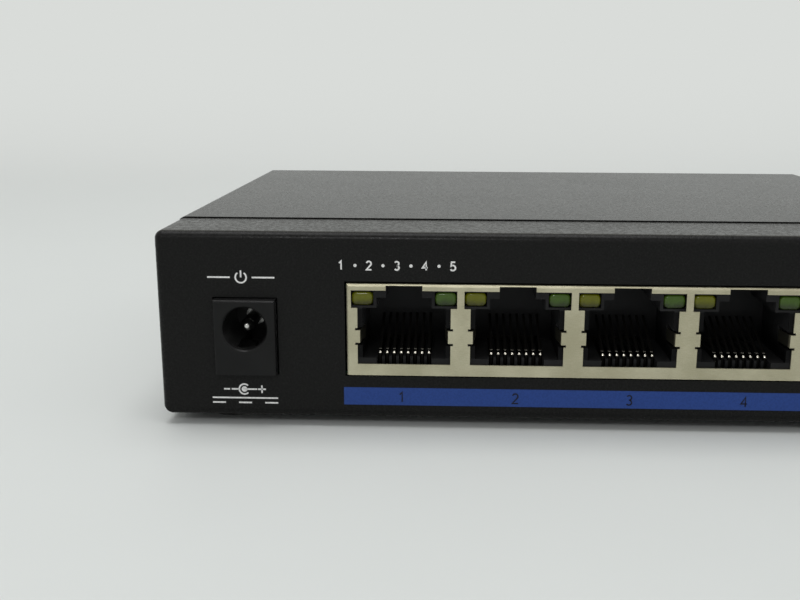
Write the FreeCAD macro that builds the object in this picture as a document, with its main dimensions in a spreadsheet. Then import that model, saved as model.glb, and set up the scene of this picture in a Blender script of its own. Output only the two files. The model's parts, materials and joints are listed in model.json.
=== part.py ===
import FreeCAD, Part
import math
import os
import re
import Sketcher

PORT_COUNT = 5
CONTACT_COUNT = 8
VENT_COUNT = 8
STANDOFF_SIDES = 6
SHANK_SIDES = 8
TRANSFORMER_LEADS = 6
CHIP_LEADS = 8
POWER_CHIP_LEADS = 5
CONVERTER_LEADS = 4

# Driving dimensions in millimetres: name, value, meaning
SIZES = [
    ("over_cut", 1.0, "how far a cutter runs past the face that it opens"),
    ("case_width", 119.0, "outside width of the case"),
    ("case_depth", 87.0, "front wall to rear wall, outside"),
    ("case_height", 27.48, "underside of the base to the top of the cover"),
    ("sheet", 0.8, "case sheet thickness"),
    ("bend_inside", 0.4, "inside radius of the case folds"),
    ("hood_depth", 12.8, "depth of the returns behind the front wall"),
    ("hood_step", 0.18, "how far the cover stands above the returns"),
    ("seam_gap", 0.25, "gap between the returns and the cover"),
    ("fit_gap", 0.15, "gap between the cover sides and the tray"),
    ("corner_relief", 1.35, "cut at the lower corners of the front wall"),
    ("rear_flange", 8.0, "flange of the rear wall under the cover"),
    ("flange_relief", 1.0, "relief cut at the ends of that flange"),
    ("lip_setback", 1.5, "side lips behind the seam"),
    ("lip_rear_gap", 2.0, "side lips in front of the rear wall"),
    ("lip_relief", 0.8, "relief cut at the ends of a side lip"),
    ("lip_margin", 3.0, "side lips above the cover screws"),
    ("tongue_inset", 10.0, "cover tongue from the case sides"),
    ("tongue_reach", 6.0, "cover tongue under the front return"),
    ("joggle_setback", 0.3, "step down to the tongue, behind the seam"),
    ("vent_width", 2.0, "width of a vent slot"),
    ("vent_height", 9.0, "height of a vent slot"),
    ("vent_pitch", 5.0, "spacing of the vent slots"),
    ("vent_start", 34.0, "first vent slot behind the front wall"),
    ("vent_drop", 3.1, "vent slots below the top of the cover"),
    ("cover_screw_rear", 27.0, "cover screws in front of the rear wall"),
    ("cover_screw_height", 10.0, "cover screws above the base underside"),
    ("screw_diameter", 3.0, "shank of all screws"),
    ("screw_length", 5.0, "shank length of all screws"),
    ("screw_head", 5.6, "head diameter of all screws"),
    ("screw_head_height", 1.6, "head height of all screws"),
    ("recess_length", 3.0, "cross recess in a screw head"),
    ("recess_width", 0.6, "width of the cross recess"),
    ("recess_depth", 0.8, "depth of the cross recess"),
    ("hole_gap", 0.2, "radial room around a shank"),
    ("thread_gap", 0.05, "radial room in a threaded hole"),
    ("foot_diameter", 9.0, "rubber foot at the case"),
    ("foot_height", 1.5, "rubber foot height"),
    ("foot_inset", 9.0, "foot axis from the case edges"),
    ("keyhole_head", 7.2, "round part of a wall keyhole"),
    ("keyhole_slot", 3.8, "narrow part of a wall keyhole"),
    ("keyhole_drop", 7.0, "length of the narrow part"),
    ("keyhole_spacing", 70.0, "between the two keyholes"),
    ("keyhole_y", 46.0, "keyholes behind the front wall"),
    ("standoff_height", 4.2, "board standoff above the base"),
    ("standoff_flats", 5.5, "across the flats of a hexagonal standoff"),
    ("standoff_gap", 0.03, "room of a standoff in its seat"),
    ("board_thickness", 1.6, "main board"),
    ("board_side_gap", 3.0, "board edge from the case sides"),
    ("board_front", 1.4, "board edge behind the front wall"),
    ("board_rear_gap", 5.6, "board edge in front of the rear wall"),
    ("board_hole_inset", 4.0, "board holes from the side edges"),
    ("board_hole_front", 33.0, "front board holes behind the front wall"),
    ("board_hole_back", 9.4, "rear board holes from the rear board edge"),
    ("lead_room", 0.2, "room around a lead in the board"),
    ("lead_drop", 1.2, "leads below the board"),
    ("jack_from_middle", 46.75, "power inlet axis left of the case middle"),
    ("jack_width", 8.9, "power inlet face width"),
    ("jack_height", 11.05, "power inlet face height"),
    ("jack_length", 14.2, "power inlet front to back"),
    ("jack_edge", 0.35, "rounded edges of the inlet face"),
    ("jack_collar", 3.4, "depth of the inlet face block"),
    ("jack_waist", 0.5, "step from the face block to the rear block"),
    ("jack_axis", 6.84, "inlet axis above the board"),
    ("jack_bore", 6.3, "inlet bore diameter"),
    ("jack_bore_depth", 9.6, "inlet bore depth"),
    ("jack_flare", 0.2, "flare at the mouth of the inlet bore"),
    ("jack_pin", 2.0, "centre pin diameter"),
    ("jack_pin_gap", 0.03, "room of the pin in the inlet"),
    ("jack_pin_back", 1.8, "pin tip behind the inlet face"),
    ("jack_pin_nose", 0.7, "tapered end of the pin"),
    ("jack_pin_tip", 0.7, "diameter of the pin at its tip"),
    ("jack_shoulder", 0.45, "shoulder of the pin at the bore end"),
    ("jack_shoulder_length", 0.8, "length of that shoulder"),
    ("jack_tab_width", 2.6, "solder tab of the pin"),
    ("jack_tab_sheet", 0.5, "thickness of that tab"),
    ("jack_tab_over", 1.6, "tab above the pin axis"),
    ("jack_proud", 1.2, "inlet face in front of the front wall"),
    ("jack_gap", 0.2, "gap around the inlet in the front wall"),
    ("spring_width", 2.4, "sleeve spring of the inlet"),
    ("spring_sheet", 0.3, "thickness of the sleeve spring"),
    ("spring_gap", 0.15, "room at the sides of the sleeve spring"),
    ("spring_room", 0.2, "room under and behind the sleeve spring"),
    ("spring_drop", 1.3, "spring run below the bore"),
    ("spring_crest", 0.8, "spring crest above the bore floor"),
    ("spring_front", 1.5, "spring end behind the inlet face"),
    ("spring_crest_y", 3.2, "spring crest behind the inlet face"),
    ("spring_foot_y", 6.0, "start of the spring slope"),
    ("spring_tab_y", 10.8, "solder tab of the spring"),
    ("gang_from_middle", 32.24, "left edge of the port shield left of the case middle"),
    ("end_web", 0.69, "shield edge to the first LED window"),
    ("row_web", 1.01, "shield between two LED windows"),
    ("opening_width", 13.3, "port opening in the shield"),
    ("opening_floor", 1.67, "port opening above the board"),
    ("opening_top", 9.94, "top of the plug part of the opening"),
    ("led_row_width", 15.1, "shield window at the height of the LEDs"),
    ("latch_width", 5.2, "shield cut for the plug latch"),
    ("lintel", 0.96, "shield top above the LED windows"),
    ("shield_depth", 16.5, "port shield front to back"),
    ("shield_sheet", 0.25, "port shield sheet thickness"),
    ("shield_proud", 0.3, "shield face in front of the front wall"),
    ("shield_gap", 0.25, "gap around the shield in the front wall"),
    ("finger_bottom", 4.83, "spring finger above the board"),
    ("finger_height", 1.83, "spring finger height"),
    ("finger_reach", 0.85, "spring finger into the opening"),
    ("finger_depth", 3.8, "spring finger front to back"),
    ("finger_relief", 0.35, "cut above and below a spring finger"),
    ("finger_root", 0.1, "spring finger into the shield face"),
    ("leg_front", 5.0, "front shield legs behind the shield face"),
    ("leg_spacing", 7.0, "front leg to rear leg"),
    ("leg_width", 1.5, "width of a shield leg"),
    ("leg_root", 0.5, "shield leg into its wall"),
    ("rear_room", 1.3, "back of the port housing to the back of the shield"),
    ("housing_gap", 0.05, "room between shield, housing and LEDs"),
    ("cavity_ledge", 0.7, "housing seen beside the plug cavity"),
    ("cavity_sill", 0.86, "housing seen below the plug cavity"),
    ("cavity_depth", 12.0, "plug cavity behind the shield face"),
    ("latch_step_rise", 1.5, "wide part of the latch way above the opening"),
    ("comb_front", 1.1, "contact slots behind the shield face"),
    ("comb_floor", 1.0, "contact slots above the board"),
    ("comb_gap", 0.1, "room at the sides of a contact"),
    ("comb_recess", 1.3, "recess in front of the contacts, behind the shield face"),
    ("comb_recess_side", 0.09, "recess past the outer contact slots"),
    ("exit_rise", 0.5, "contact exit above the cavity floor"),
    ("finger_room", 0.4, "room above and below a spring finger"),
    ("finger_room_back", 0.7, "room behind a spring finger"),
    ("contact_pitch", 1.016, "spacing of the contacts"),
    ("contact_width", 0.42, "width of a contact"),
    ("contact_thickness", 0.3, "thickness of a contact"),
    ("contact_front", 1.75, "front bend of a contact behind the shield face"),
    ("contact_crest", 2.95, "start of the sloping arm above the board"),
    ("contact_bend", 0.5, "cut-off of the front bends"),
    ("contact_tip_y", 10.4, "arm tip behind the shield face"),
    ("contact_tip_z", 6.9, "arm tip above the board"),
    ("contact_clear", 0.2, "contact drop behind the housing"),
    ("led_width", 3.1, "LED lens width"),
    ("led_height", 2.03, "LED lens height"),
    ("led_length", 7.0, "LED body length"),
    ("led_rise", 0.3, "LED above the plug part of the opening"),
    ("led_over", 0.24, "window above a LED"),
    ("led_wall", 0.52, "housing wall between a LED and the latch way"),
    ("led_edge", 0.35, "chamfered corners of a LED lens"),
    ("led_lead", 0.5, "LED lead section"),
    ("led_lead_inset", 0.55, "LED leads from the lens sides"),
    ("led_lead_rise", 0.5, "LED leads above the lens underside"),
    ("transformer_width", 12.7, "line transformer along the front"),
    ("transformer_depth", 9.4, "line transformer front to back"),
    ("transformer_height", 5.9, "line transformer height"),
    ("transformer_lift", 0.4, "line transformer above the board"),
    ("transformer_gap", 5.0, "line transformers behind the port shield"),
    ("lead_pitch", 1.27, "spacing of chip and transformer leads"),
    ("lead_width", 0.5, "width of a chip lead"),
    ("lead_height", 0.5, "height of a chip lead"),
    ("lead_reach", 1.0, "chip lead beside the body"),
    ("chip_x", 2.0, "switch chip from the case middle"),
    ("chip_y", 52.0, "switch chip behind the front wall"),
    ("chip_side", 14.0, "switch chip side"),
    ("chip_height", 1.5, "chip body height"),
    ("chip_lift", 0.1, "chip body above the board"),
    ("power_chip_x", 31.0, "port power chip from the case middle"),
    ("power_chip_y", 51.5, "port power chip behind the front wall"),
    ("power_chip_width", 10.0, "port power chip along the front"),
    ("power_chip_depth", 7.0, "port power chip front to back"),
    ("converter_x", -24.5, "converter chip from the case middle"),
    ("converter_y", 47.0, "converter chip behind the front wall"),
    ("converter_width", 5.0, "converter chip along the front"),
    ("converter_depth", 4.0, "converter chip front to back"),
    ("capacitor_inset", 14.0, "bulk capacitors from the left board edge"),
    ("capacitor_front", 29.0, "first bulk capacitor behind the front wall"),
    ("capacitor_spacing", 12.0, "between the bulk capacitors"),
    ("capacitor_diameter", 10.0, "bulk capacitor"),
    ("capacitor_height", 16.0, "bulk capacitor height"),
    ("inductor_x", -30.0, "power inductor from the case middle"),
    ("inductor_y", 60.0, "power inductor behind the front wall"),
    ("inductor_side", 12.0, "power inductor side"),
    ("inductor_height", 6.0, "power inductor height"),
    ("inductor_corner", 2.0, "chamfered corners of the power inductor"),
    ("crystal_x", -11.0, "crystal from the case middle"),
    ("crystal_y", 48.3, "crystal behind the front wall"),
    ("crystal_length", 7.0, "crystal can length"),
    ("crystal_width", 5.0, "crystal can width"),
    ("crystal_height", 1.4, "crystal can height"),
    ("crystal_corner", 0.7, "chamfered corners of the crystal can"),
]

# Formulas built from the driving dimensions
DERIVED = {
    "half_width": "case_width / 2",
    "bend_outside": "sheet + bend_inside",
    "base_half": "half_width - sheet - fit_gap",
    "front_y": "(jack_proud - case_depth) / 2",
    "hood_height": "case_height - hood_step",
    "seam_y": "hood_depth + seam_gap",
    "lip_front": "seam_y + lip_setback",
    "lip_rear": "case_depth - sheet - lip_rear_gap",
    "lip_top": "cover_screw_height + lip_margin",
    "tongue_half": "half_width - tongue_inset",
    "tongue_front": "hood_depth - tongue_reach",
    "joggle": "seam_y + joggle_setback",
    "cover_screw_y": "case_depth - cover_screw_rear",
    "screw_radius": "screw_diameter / 2",
    "hole_radius": "screw_radius + hole_gap",
    "thread_radius": "screw_radius + thread_gap",
    "standoff_radius": f"standoff_flats / {math.sqrt(3):.6f}",
    "board_top": "sheet + standoff_height + board_thickness",
    "board_half": "half_width - board_side_gap",
    "board_rear": "case_depth - board_rear_gap",
    "board_hole_x": "board_half - board_hole_inset",
    "board_hole_rear": "board_rear - board_hole_back",
    "jack_x": "-jack_from_middle",
    "jack_half": "jack_width / 2",
    "bore_floor": "jack_axis - jack_bore / 2",
    "spring_run": "bore_floor - spring_drop",
    "spring_top": "bore_floor + spring_crest",
    "gang_left": "-gang_from_middle",
    "port_pitch": "led_row_width + row_web",
    "port_centre": "end_web + led_row_width / 2",
    "row_length": f"{PORT_COUNT - 1} * port_pitch",
    "gang_width": "row_length + 2 * port_centre",
    "led_bottom": "opening_top + led_rise",
    "led_top": "led_bottom + led_height",
    "led_row_top": "led_top + led_over",
    "shield_height": "led_row_top + lintel",
    "left_led": "port_centre - led_row_width / 2 + housing_gap",
    "right_led": "port_centre + led_row_width / 2 - housing_gap - led_width",
    "housing_front": "shield_sheet + housing_gap",
    "housing_top": "shield_height - shield_sheet - housing_gap",
    "housing_depth": "shield_depth - rear_room",
    "cavity_half": "opening_width / 2 - cavity_ledge",
    "cavity_floor": "opening_floor + cavity_sill",
    "latch_step_half": "led_row_width / 2 - led_width - led_wall",
    "latch_step_top": "opening_top + latch_step_rise",
    "comb_slot": "contact_width + 2 * comb_gap",
    "contact_row": f"{CONTACT_COUNT - 1} * contact_pitch",
    "contact_drop": "housing_depth + contact_clear",
    "contact_slope": "(contact_tip_z - contact_crest) / (contact_tip_y - contact_front)",
    "transformer_front": "shield_depth + transformer_gap",
    "capacitor_x": "capacitor_inset - board_half",
}

ALIASES = {name for name, _, _ in SIZES}

# How closely an edge has to lie on a line to be taken for it
TOLERANCE = 1e-4

# Places of the frames that the sub-parts are drawn in
CASE = ("0", "front_y", "foot_height")
BOARD = ("0", "front_y", "foot_height + board_top")
GANG = ("gang_left", "front_y - shield_proud", "foot_height + board_top")
JACK = ("jack_x", "front_y - jack_proud", "foot_height + board_top")

doc = FreeCAD.newDocument("ethernet_switch")
finished = []


def fill_sheet():
    """Write the driving dimensions to a spreadsheet with aliases."""
    sheet = doc.addObject("Spreadsheet::Sheet", "sizes")
    for row, (name, value, note) in enumerate(SIZES, start=1):
        sheet.set(f"A{row}", name)
        sheet.set(f"B{row}", str(value))
        sheet.setAlias(f"B{row}", name)
        sheet.set(f"C{row}", note)
    doc.recompute()
    return sheet


def expand(formula):
    """Turn a formula of size names into an expression on the sheet's cells."""

    def cell(match):
        name = match.group(0)
        if name in DERIVED:
            return "(" + expand(DERIVED[name]) + ")"
        if name in ALIASES:
            return "sizes." + name
        raise KeyError(name)

    return re.sub(r"[a-z][a-z_]*", cell, formula)


def number(formula):
    """Value of a formula with the sheet as it stands."""
    return float(sizes.evalExpression(expand(formula)))


def place(item, spot):
    """Bind the place of an object or feature to three formulas."""
    for axis, formula in zip("xyz", spot):
        item.setExpression(f".Placement.Base.{axis}", expand(formula))


def start_body(label, frame):
    """Begin a sub-part in one of the frames."""
    body = doc.addObject("PartDesign::Body", label)
    body.Label = label
    place(body, frame)
    finished.append(body)
    return body


def block(body, name, low, high, cut=False):
    """Add or cut a box between two corners."""
    kind = "PartDesign::SubtractiveBox" if cut else "PartDesign::AdditiveBox"
    feature = body.newObject(kind, name)
    for side, start, end in zip(("Length", "Width", "Height"), low, high):
        feature.setExpression(side, expand(f"({end}) - ({start})"))
    place(feature, low)
    return feature


def around(spot, halves):
    """Corners of a box around a point."""
    low = [f"{at} - ({half})" for at, half in zip(spot, halves)]
    high = [f"{at} + ({half})" for at, half in zip(spot, halves)]
    return low, high


def aimed(axis):
    """Turn that points a feature's own z along x, y or z."""
    aims = {"x": (1, 0, 0), "y": (0, 1, 0), "z": (0, 0, 1)}
    return FreeCAD.Rotation(FreeCAD.Vector(0, 0, 1), FreeCAD.Vector(*aims[axis]))


def rod(body, name, start, axis, radius, length, cut=False):
    """Add or cut a cylinder that runs from a point along x, y or z."""
    kind = "PartDesign::SubtractiveCylinder" if cut else "PartDesign::AdditiveCylinder"
    feature = body.newObject(kind, name)
    feature.Placement = FreeCAD.Placement(FreeCAD.Vector(), aimed(axis))
    feature.setExpression("Radius", expand(radius))
    feature.setExpression("Height", expand(length))
    place(feature, start)
    return feature


def prism(body, name, start, axis, sides, radius, height, cut=False):
    """Add or cut a prism with flat sides from a point along x, y or z."""
    kind = "PartDesign::SubtractivePrism" if cut else "PartDesign::AdditivePrism"
    feature = body.newObject(kind, name)
    feature.Polygon = sides
    feature.Placement = FreeCAD.Placement(FreeCAD.Vector(), aimed(axis))
    feature.setExpression("Circumradius", expand(radius))
    feature.setExpression("Height", expand(height))
    place(feature, start)
    return feature


def cone(body, name, start, axis, radii, length, cut=False):
    """Add or cut a tapered round from a point along x, y or z."""
    kind = "PartDesign::SubtractiveCone" if cut else "PartDesign::AdditiveCone"
    feature = body.newObject(kind, name)
    feature.Placement = FreeCAD.Placement(FreeCAD.Vector(), aimed(axis))
    feature.setExpression("Radius1", expand(radii[0]))
    feature.setExpression("Radius2", expand(radii[1]))
    feature.setExpression("Height", expand(length))
    place(feature, start)
    return feature


def origin_item(body, role):
    """Plane or axis of the body's own origin."""
    return next(item for item in body.Origin.OriginFeatures if item.Role == role)


def bind(sketch, kind, *terms, formula):
    """Add a dimension to a sketch and bind it to a formula."""
    index = sketch.addConstraint(Sketcher.Constraint(kind, *terms, number(formula)))
    sketch.setExpression(f"Constraints[{index}]", expand(formula))


def outline(body, name, plane, corners, offset="0"):
    """Closed sketch of straight lines through corners (u, v), all bound to the sheet."""
    sketch = body.newObject("Sketcher::SketchObject", name)
    sketch.AttachmentSupport = [(origin_item(body, plane + "_Plane"), "")]
    sketch.MapMode = "FlatFace"
    sketch.setExpression(".AttachmentOffset.Base.z", expand(offset))
    spots = [FreeCAD.Vector(number(u), number(v), 0) for u, v in corners]
    for here, following in zip(spots, spots[1:] + spots[:1]):
        sketch.addGeometry(Part.LineSegment(here, following))
    for index, (u, v) in enumerate(corners):
        before = (index - 1) % len(corners)
        sketch.addConstraint(Sketcher.Constraint("Coincident", before, 2, index, 1))
        bind(sketch, "DistanceX", -1, 1, index, 1, formula=u)
        bind(sketch, "DistanceY", -1, 1, index, 1, formula=v)
    return sketch


def pad(body, name, sketch, length):
    """Pad a sketch along its normal."""
    feature = body.newObject("PartDesign::Pad", name)
    feature.Profile = sketch
    feature.setExpression("Length", expand(length))
    return feature


def pocket(body, name, sketch, length):
    """Cut a sketch against its normal."""
    feature = body.newObject("PartDesign::Pocket", name)
    feature.Profile = sketch
    feature.setExpression("Length", expand(length))
    return feature


def repeat(body, name, features, axis, length, count):
    """Repeat features in a row along an axis of the body."""
    row = body.newObject("PartDesign::LinearPattern", name)
    row.Originals = features
    row.Direction = (origin_item(body, axis + "_Axis"), [""])
    row.setExpression("Length", expand(length))
    row.Occurrences = count
    body.Tip = row
    return row


def edge_matches(edge, line):
    """Whether a straight edge lies on a line given by fixed coordinates and spans."""
    box = edge.BoundBox
    middle = box.Center
    for axis in "xyz":
        size = getattr(box, axis.upper() + "Length")
        at = getattr(middle, axis)
        rule = line.get(axis)
        if isinstance(rule, tuple):
            if not number(rule[0]) < at < number(rule[1]):
                return False
        elif rule is not None:
            if size > TOLERANCE or abs(at - number(rule)) > TOLERANCE:
                return False
        elif size < TOLERANCE:
            return False
    return True


def dress(body, kind, name, size, lines):
    """Put a fillet or a chamfer on the edges of the body that lie on the given lines."""
    doc.recompute()
    base = body.Tip
    names = []
    for index, edge in enumerate(base.Shape.Edges, start=1):
        if any(edge_matches(edge, line) for line in lines):
            names.append(f"Edge{index}")
    feature = body.newObject(f"PartDesign::{kind}", name)
    feature.Base = (base, names)
    feature.setExpression("Radius" if kind == "Fillet" else "Size", expand(size))
    return feature


def mirrored(lines):
    """The given lines and the same lines on the other side of x = 0."""
    both = list(lines)
    for line in lines:
        other = dict(line)
        other["x"] = f"-({line['x']})"
        both.append(other)
    return both


def build_tray():
    """Fold the base, the front wall with its returns, the rear wall and the side lips."""
    body = start_body("chassis_tray", CASE)
    block(body, "hood", ("-half_width", "0", "0"), ("half_width", "hood_depth", "hood_height"))
    outer = mirrored([{"x": "half_width", "y": "0"}, {"x": "half_width", "z": "hood_height"}])
    outer += [{"y": "0", "z": "hood_height"}, {"y": "0", "z": "0"}]
    dress(body, "Fillet", "hood_folds", "bend_outside", outer)
    block(body, "hood_inside", ("-half_width + sheet", "sheet", "sheet"),
          ("half_width - sheet", "hood_depth + over_cut", "hood_height - sheet"), cut=True)
    inner = [{"y": "sheet", "z": "hood_height - sheet"}, {"y": "sheet", "z": "sheet"}]
    dress(body, "Fillet", "hood_inner_folds", "bend_inside", inner)
    for low, high in (("-half_width - over_cut", "-base_half"), ("base_half", "half_width + over_cut")):
        block(body, "return_relief", (low, "bend_outside", "-over_cut"),
              (high, "hood_depth + over_cut", "corner_relief"), cut=True)
    build_tray_corners(body)
    build_tray_rear(body)
    build_tray_lips(body)
    build_tray_holes(body)


def build_tray_corners(body):
    """Cut the two lower corners of the front wall at an angle."""
    for name, sign in (("left", "-"), ("right", "")):
        corners = [(f"{sign}(half_width + over_cut)", "-over_cut"),
                   (f"{sign}(half_width - corner_relief - over_cut)", "-over_cut"),
                   (f"{sign}(half_width + over_cut)", "corner_relief + over_cut")]
        sketch = outline(body, f"{name}_corner_outline", "XZ", corners)
        pocket(body, f"{name}_corner", sketch, "bend_outside + fit_gap")


def build_tray_rear(body):
    """Add the base plate and the rear wall with its flange."""
    under_cover = "case_height - sheet"
    block(body, "base", ("-base_half", "hood_depth - over_cut", "0"), ("base_half", "case_depth", "sheet"))
    block(body, "rear_wall", ("-base_half", "case_depth - sheet", "0"),
          ("base_half", "case_depth", under_cover))
    block(body, "rear_top", ("-base_half", "case_depth - rear_flange", f"{under_cover} - sheet"),
          ("base_half", "case_depth", under_cover))
    dress(body, "Fillet", "rear_folds", "bend_outside",
          [{"y": "case_depth", "z": "0"}, {"y": "case_depth", "z": under_cover}])
    dress(body, "Fillet", "rear_inner_folds", "bend_inside",
          [{"y": "case_depth - sheet", "z": "sheet"},
           {"y": "case_depth - sheet", "z": f"{under_cover} - sheet"}])
    for low, high in (("-base_half - over_cut", "-base_half + flange_relief"),
                      ("base_half - flange_relief", "base_half + over_cut")):
        block(body, "flange_end",
              (low, "case_depth - rear_flange - over_cut", f"{under_cover} - bend_outside"),
              (high, "case_depth + over_cut", "case_height"), cut=True)


def build_tray_lips(body):
    """Fold up the side lips that take the cover screws."""
    for low, high in (("-base_half", "-base_half + sheet"), ("base_half - sheet", "base_half")):
        block(body, "lip", (low, "lip_front", "0"), (high, "lip_rear", "lip_top"))
    for low, high in (("-base_half - over_cut", "-base_half + bend_outside"),
                      ("base_half - bend_outside", "base_half + over_cut")):
        for start in ("lip_front - lip_relief", "lip_rear"):
            block(body, "lip_end", (low, start, "-over_cut"),
                  (high, f"{start} + lip_relief", "sheet + over_cut"), cut=True)
    span = ("lip_front", "lip_rear")
    dress(body, "Fillet", "lip_folds", "bend_outside",
          mirrored([{"x": "base_half", "y": span, "z": "0"}]))
    dress(body, "Fillet", "lip_inner_folds", "bend_inside",
          mirrored([{"x": "base_half - sheet", "y": span, "z": "sheet"}]))


def build_tray_holes(body):
    """Cut the front openings, screw holes, standoff seats and wall keyholes."""
    inside = "sheet + over_cut"
    block(body, "jack_cutout", ("jack_x - jack_half - jack_gap", "-over_cut", "board_top - jack_gap"),
          ("jack_x + jack_half + jack_gap", inside, "board_top + jack_height + jack_gap"), cut=True)
    block(body, "port_cutout", ("gang_left - shield_gap", "-over_cut", "board_top - shield_gap"),
          ("gang_left + gang_width + shield_gap", inside, "board_top + shield_height + shield_gap"),
          cut=True)
    rod(body, "lip_hole", ("-half_width", "cover_screw_y", "cover_screw_height"), "x",
        "thread_radius", "case_width", cut=True)
    through = "sheet + 2 * over_cut"
    for spot in board_hole_spots():
        prism(body, "standoff_seat", (*spot, "-over_cut"), "z", STANDOFF_SIDES,
              "standoff_radius + standoff_gap", through, cut=True)
    for sign in ("-", ""):
        across = f"{sign}keyhole_spacing / 2"
        rod(body, "keyhole", (across, "keyhole_y", "-over_cut"), "z", "keyhole_head / 2", through, cut=True)
        rod(body, "keyhole_end", (across, "keyhole_y + keyhole_drop", "-over_cut"), "z",
            "keyhole_slot / 2", through, cut=True)
        block(body, "keyhole_way", (f"{across} - keyhole_slot / 2", "keyhole_y", "-over_cut"),
              (f"{across} + keyhole_slot / 2", "keyhole_y + keyhole_drop", inside), cut=True)


def board_hole_spots():
    """Formulas of the four board holes in the case frame."""
    return [(f"{sign}board_hole_x", along)
            for sign in ("-", "")
            for along in ("board_hole_front", "board_hole_rear")]


def build_cover():
    """Fold the cover: a top and two sides, with a tongue under the front return."""
    body = start_body("top_cover", CASE)
    under = "case_height - sheet"
    block(body, "shell", ("-half_width", "seam_y", "corner_relief"),
          ("half_width", "case_depth", "case_height"))
    dress(body, "Fillet", "shell_folds", "bend_outside", mirrored([{"x": "half_width", "z": "case_height"}]))
    block(body, "inside", ("-half_width + sheet", "seam_y - over_cut", "0"),
          ("half_width - sheet", "case_depth + over_cut", under), cut=True)
    dress(body, "Fillet", "inner_folds", "bend_inside", mirrored([{"x": "half_width - sheet", "z": under}]))
    below = "hood_height - sheet"
    tongue = [("tongue_front", f"{below} - sheet"), ("joggle", f"{below} - sheet"),
              ("joggle + sheet", under), ("seam_y", under), ("seam_y", below), ("tongue_front", below)]
    sketch = outline(body, "tongue_profile", "YZ", tongue, offset="-tongue_half")
    pad(body, "tongue", sketch, "2 * tongue_half")
    rod(body, "screw_hole", ("-half_width - over_cut", "cover_screw_y", "cover_screw_height"), "x",
        "hole_radius", "case_width + 2 * over_cut", cut=True)
    top = "case_height - vent_drop"
    vent = block(body, "vent", ("-half_width - over_cut", "vent_start", f"{top} - vent_height"),
                 ("half_width + over_cut", "vent_start + vent_width", top), cut=True)
    repeat(body, "vents", [vent], "Y", f"{VENT_COUNT - 1} * vent_pitch", VENT_COUNT)


def build_screw(body, spot, axis, sign):
    """One screw: its head rests at a point and its shank runs up (1) or down (-1) an axis."""
    along = "xyz".index(axis)
    head = list(spot)
    shank = list(spot)
    top = list(spot)
    top[along] = f"{spot[along]} - {sign} * screw_head_height"
    if sign > 0:
        head[along] = top[along]
    else:
        shank[along] = f"{spot[along]} - screw_length"
    rod(body, "head", head, axis, "screw_head / 2", "screw_head_height")
    prism(body, "shank", shank, axis, SHANK_SIDES, "screw_radius", "screw_length")
    sides = [index for index in range(3) if index != along]
    for long, short in (sides, sides[::-1]):
        halves = ["recess_depth"] * 3
        halves[long] = "recess_length / 2"
        halves[short] = "recess_width / 2"
        block(body, "recess", *around(top, halves), cut=True)


def build_screws():
    """The two cover screws and the four board screws."""
    body = start_body("cover_screws", CASE)
    build_screw(body, ("-half_width", "cover_screw_y", "cover_screw_height"), "x", 1)
    build_screw(body, ("half_width", "cover_screw_y", "cover_screw_height"), "x", -1)
    body = start_body("board_screws", CASE)
    for spot in board_hole_spots():
        build_screw(body, (*spot, "board_top"), "z", -1)


def build_feet():
    """Four round rubber feet under the base."""
    body = start_body("rubber_feet", CASE)
    for sign in ("-", ""):
        for along in ("foot_inset", "case_depth - foot_inset"):
            spot = (f"{sign}(half_width - foot_inset)", along, "-foot_height")
            rod(body, "foot", spot, "z", "foot_diameter / 2", "foot_height")


def build_board():
    """The main board with its screw holes and lead slots, on four hexagonal standoffs."""
    body = start_body("board_standoffs", CASE)
    for spot in board_hole_spots():
        prism(body, "post", (*spot, "0"), "z", STANDOFF_SIDES, "standoff_radius", "sheet + standoff_height")
        prism(body, "thread", (*spot, "sheet"), "z", SHANK_SIDES, "thread_radius",
              "standoff_height + over_cut", cut=True)
    body = start_body("main_board", CASE)
    block(body, "plate", ("-board_half", "board_front", "board_top - board_thickness"),
          ("board_half", "board_rear", "board_top"))
    for spot in board_hole_spots():
        rod(body, "screw_hole", (*spot, "0"), "z", "hole_radius", "board_top + over_cut", cut=True)
    slots = [("gang_left", "shield_proud", spot) for spot in leg_spots()]
    slots += [("jack_x", "jack_proud", spot) for spot in (JACK_PIN_TAB, JACK_SPRING_TAB)]
    for left, proud, (low, high) in slots:
        block(body, "lead_slot",
              (f"{left} + {low[0]} - lead_room", f"{low[1]} - {proud} - lead_room", "0"),
              (f"{left} + {high[0]} + lead_room", f"{high[1]} - {proud} + lead_room",
               "board_top + over_cut"), cut=True)


def leg_spots():
    """Plan corners of the four shield legs in the port frame."""
    walls = (("0", "shield_sheet"), ("gang_width - shield_sheet", "gang_width"))
    starts = ("leg_front", "leg_front + leg_spacing")
    return [((wall[0], start), (wall[1], f"{start} + leg_width")) for wall in walls for start in starts]


# Plan corners of the two inlet tabs in the inlet frame
JACK_PIN_TAB = (("-jack_tab_width / 2", "jack_length"),
                ("jack_tab_width / 2", "jack_length + jack_tab_sheet"))
JACK_SPRING_TAB = (("-spring_width / 2", "spring_tab_y"),
                   ("spring_width / 2", "spring_tab_y + spring_sheet"))


def port_outline(body, name, right):
    """Sketch on the port face, given by its right half from the bottom up."""
    corners = [(f"port_centre + {u}", v) for u, v in right]
    corners += [(f"port_centre - ({u})", v) for u, v in reversed(right)]
    return outline(body, name, "XZ", corners)


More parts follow.
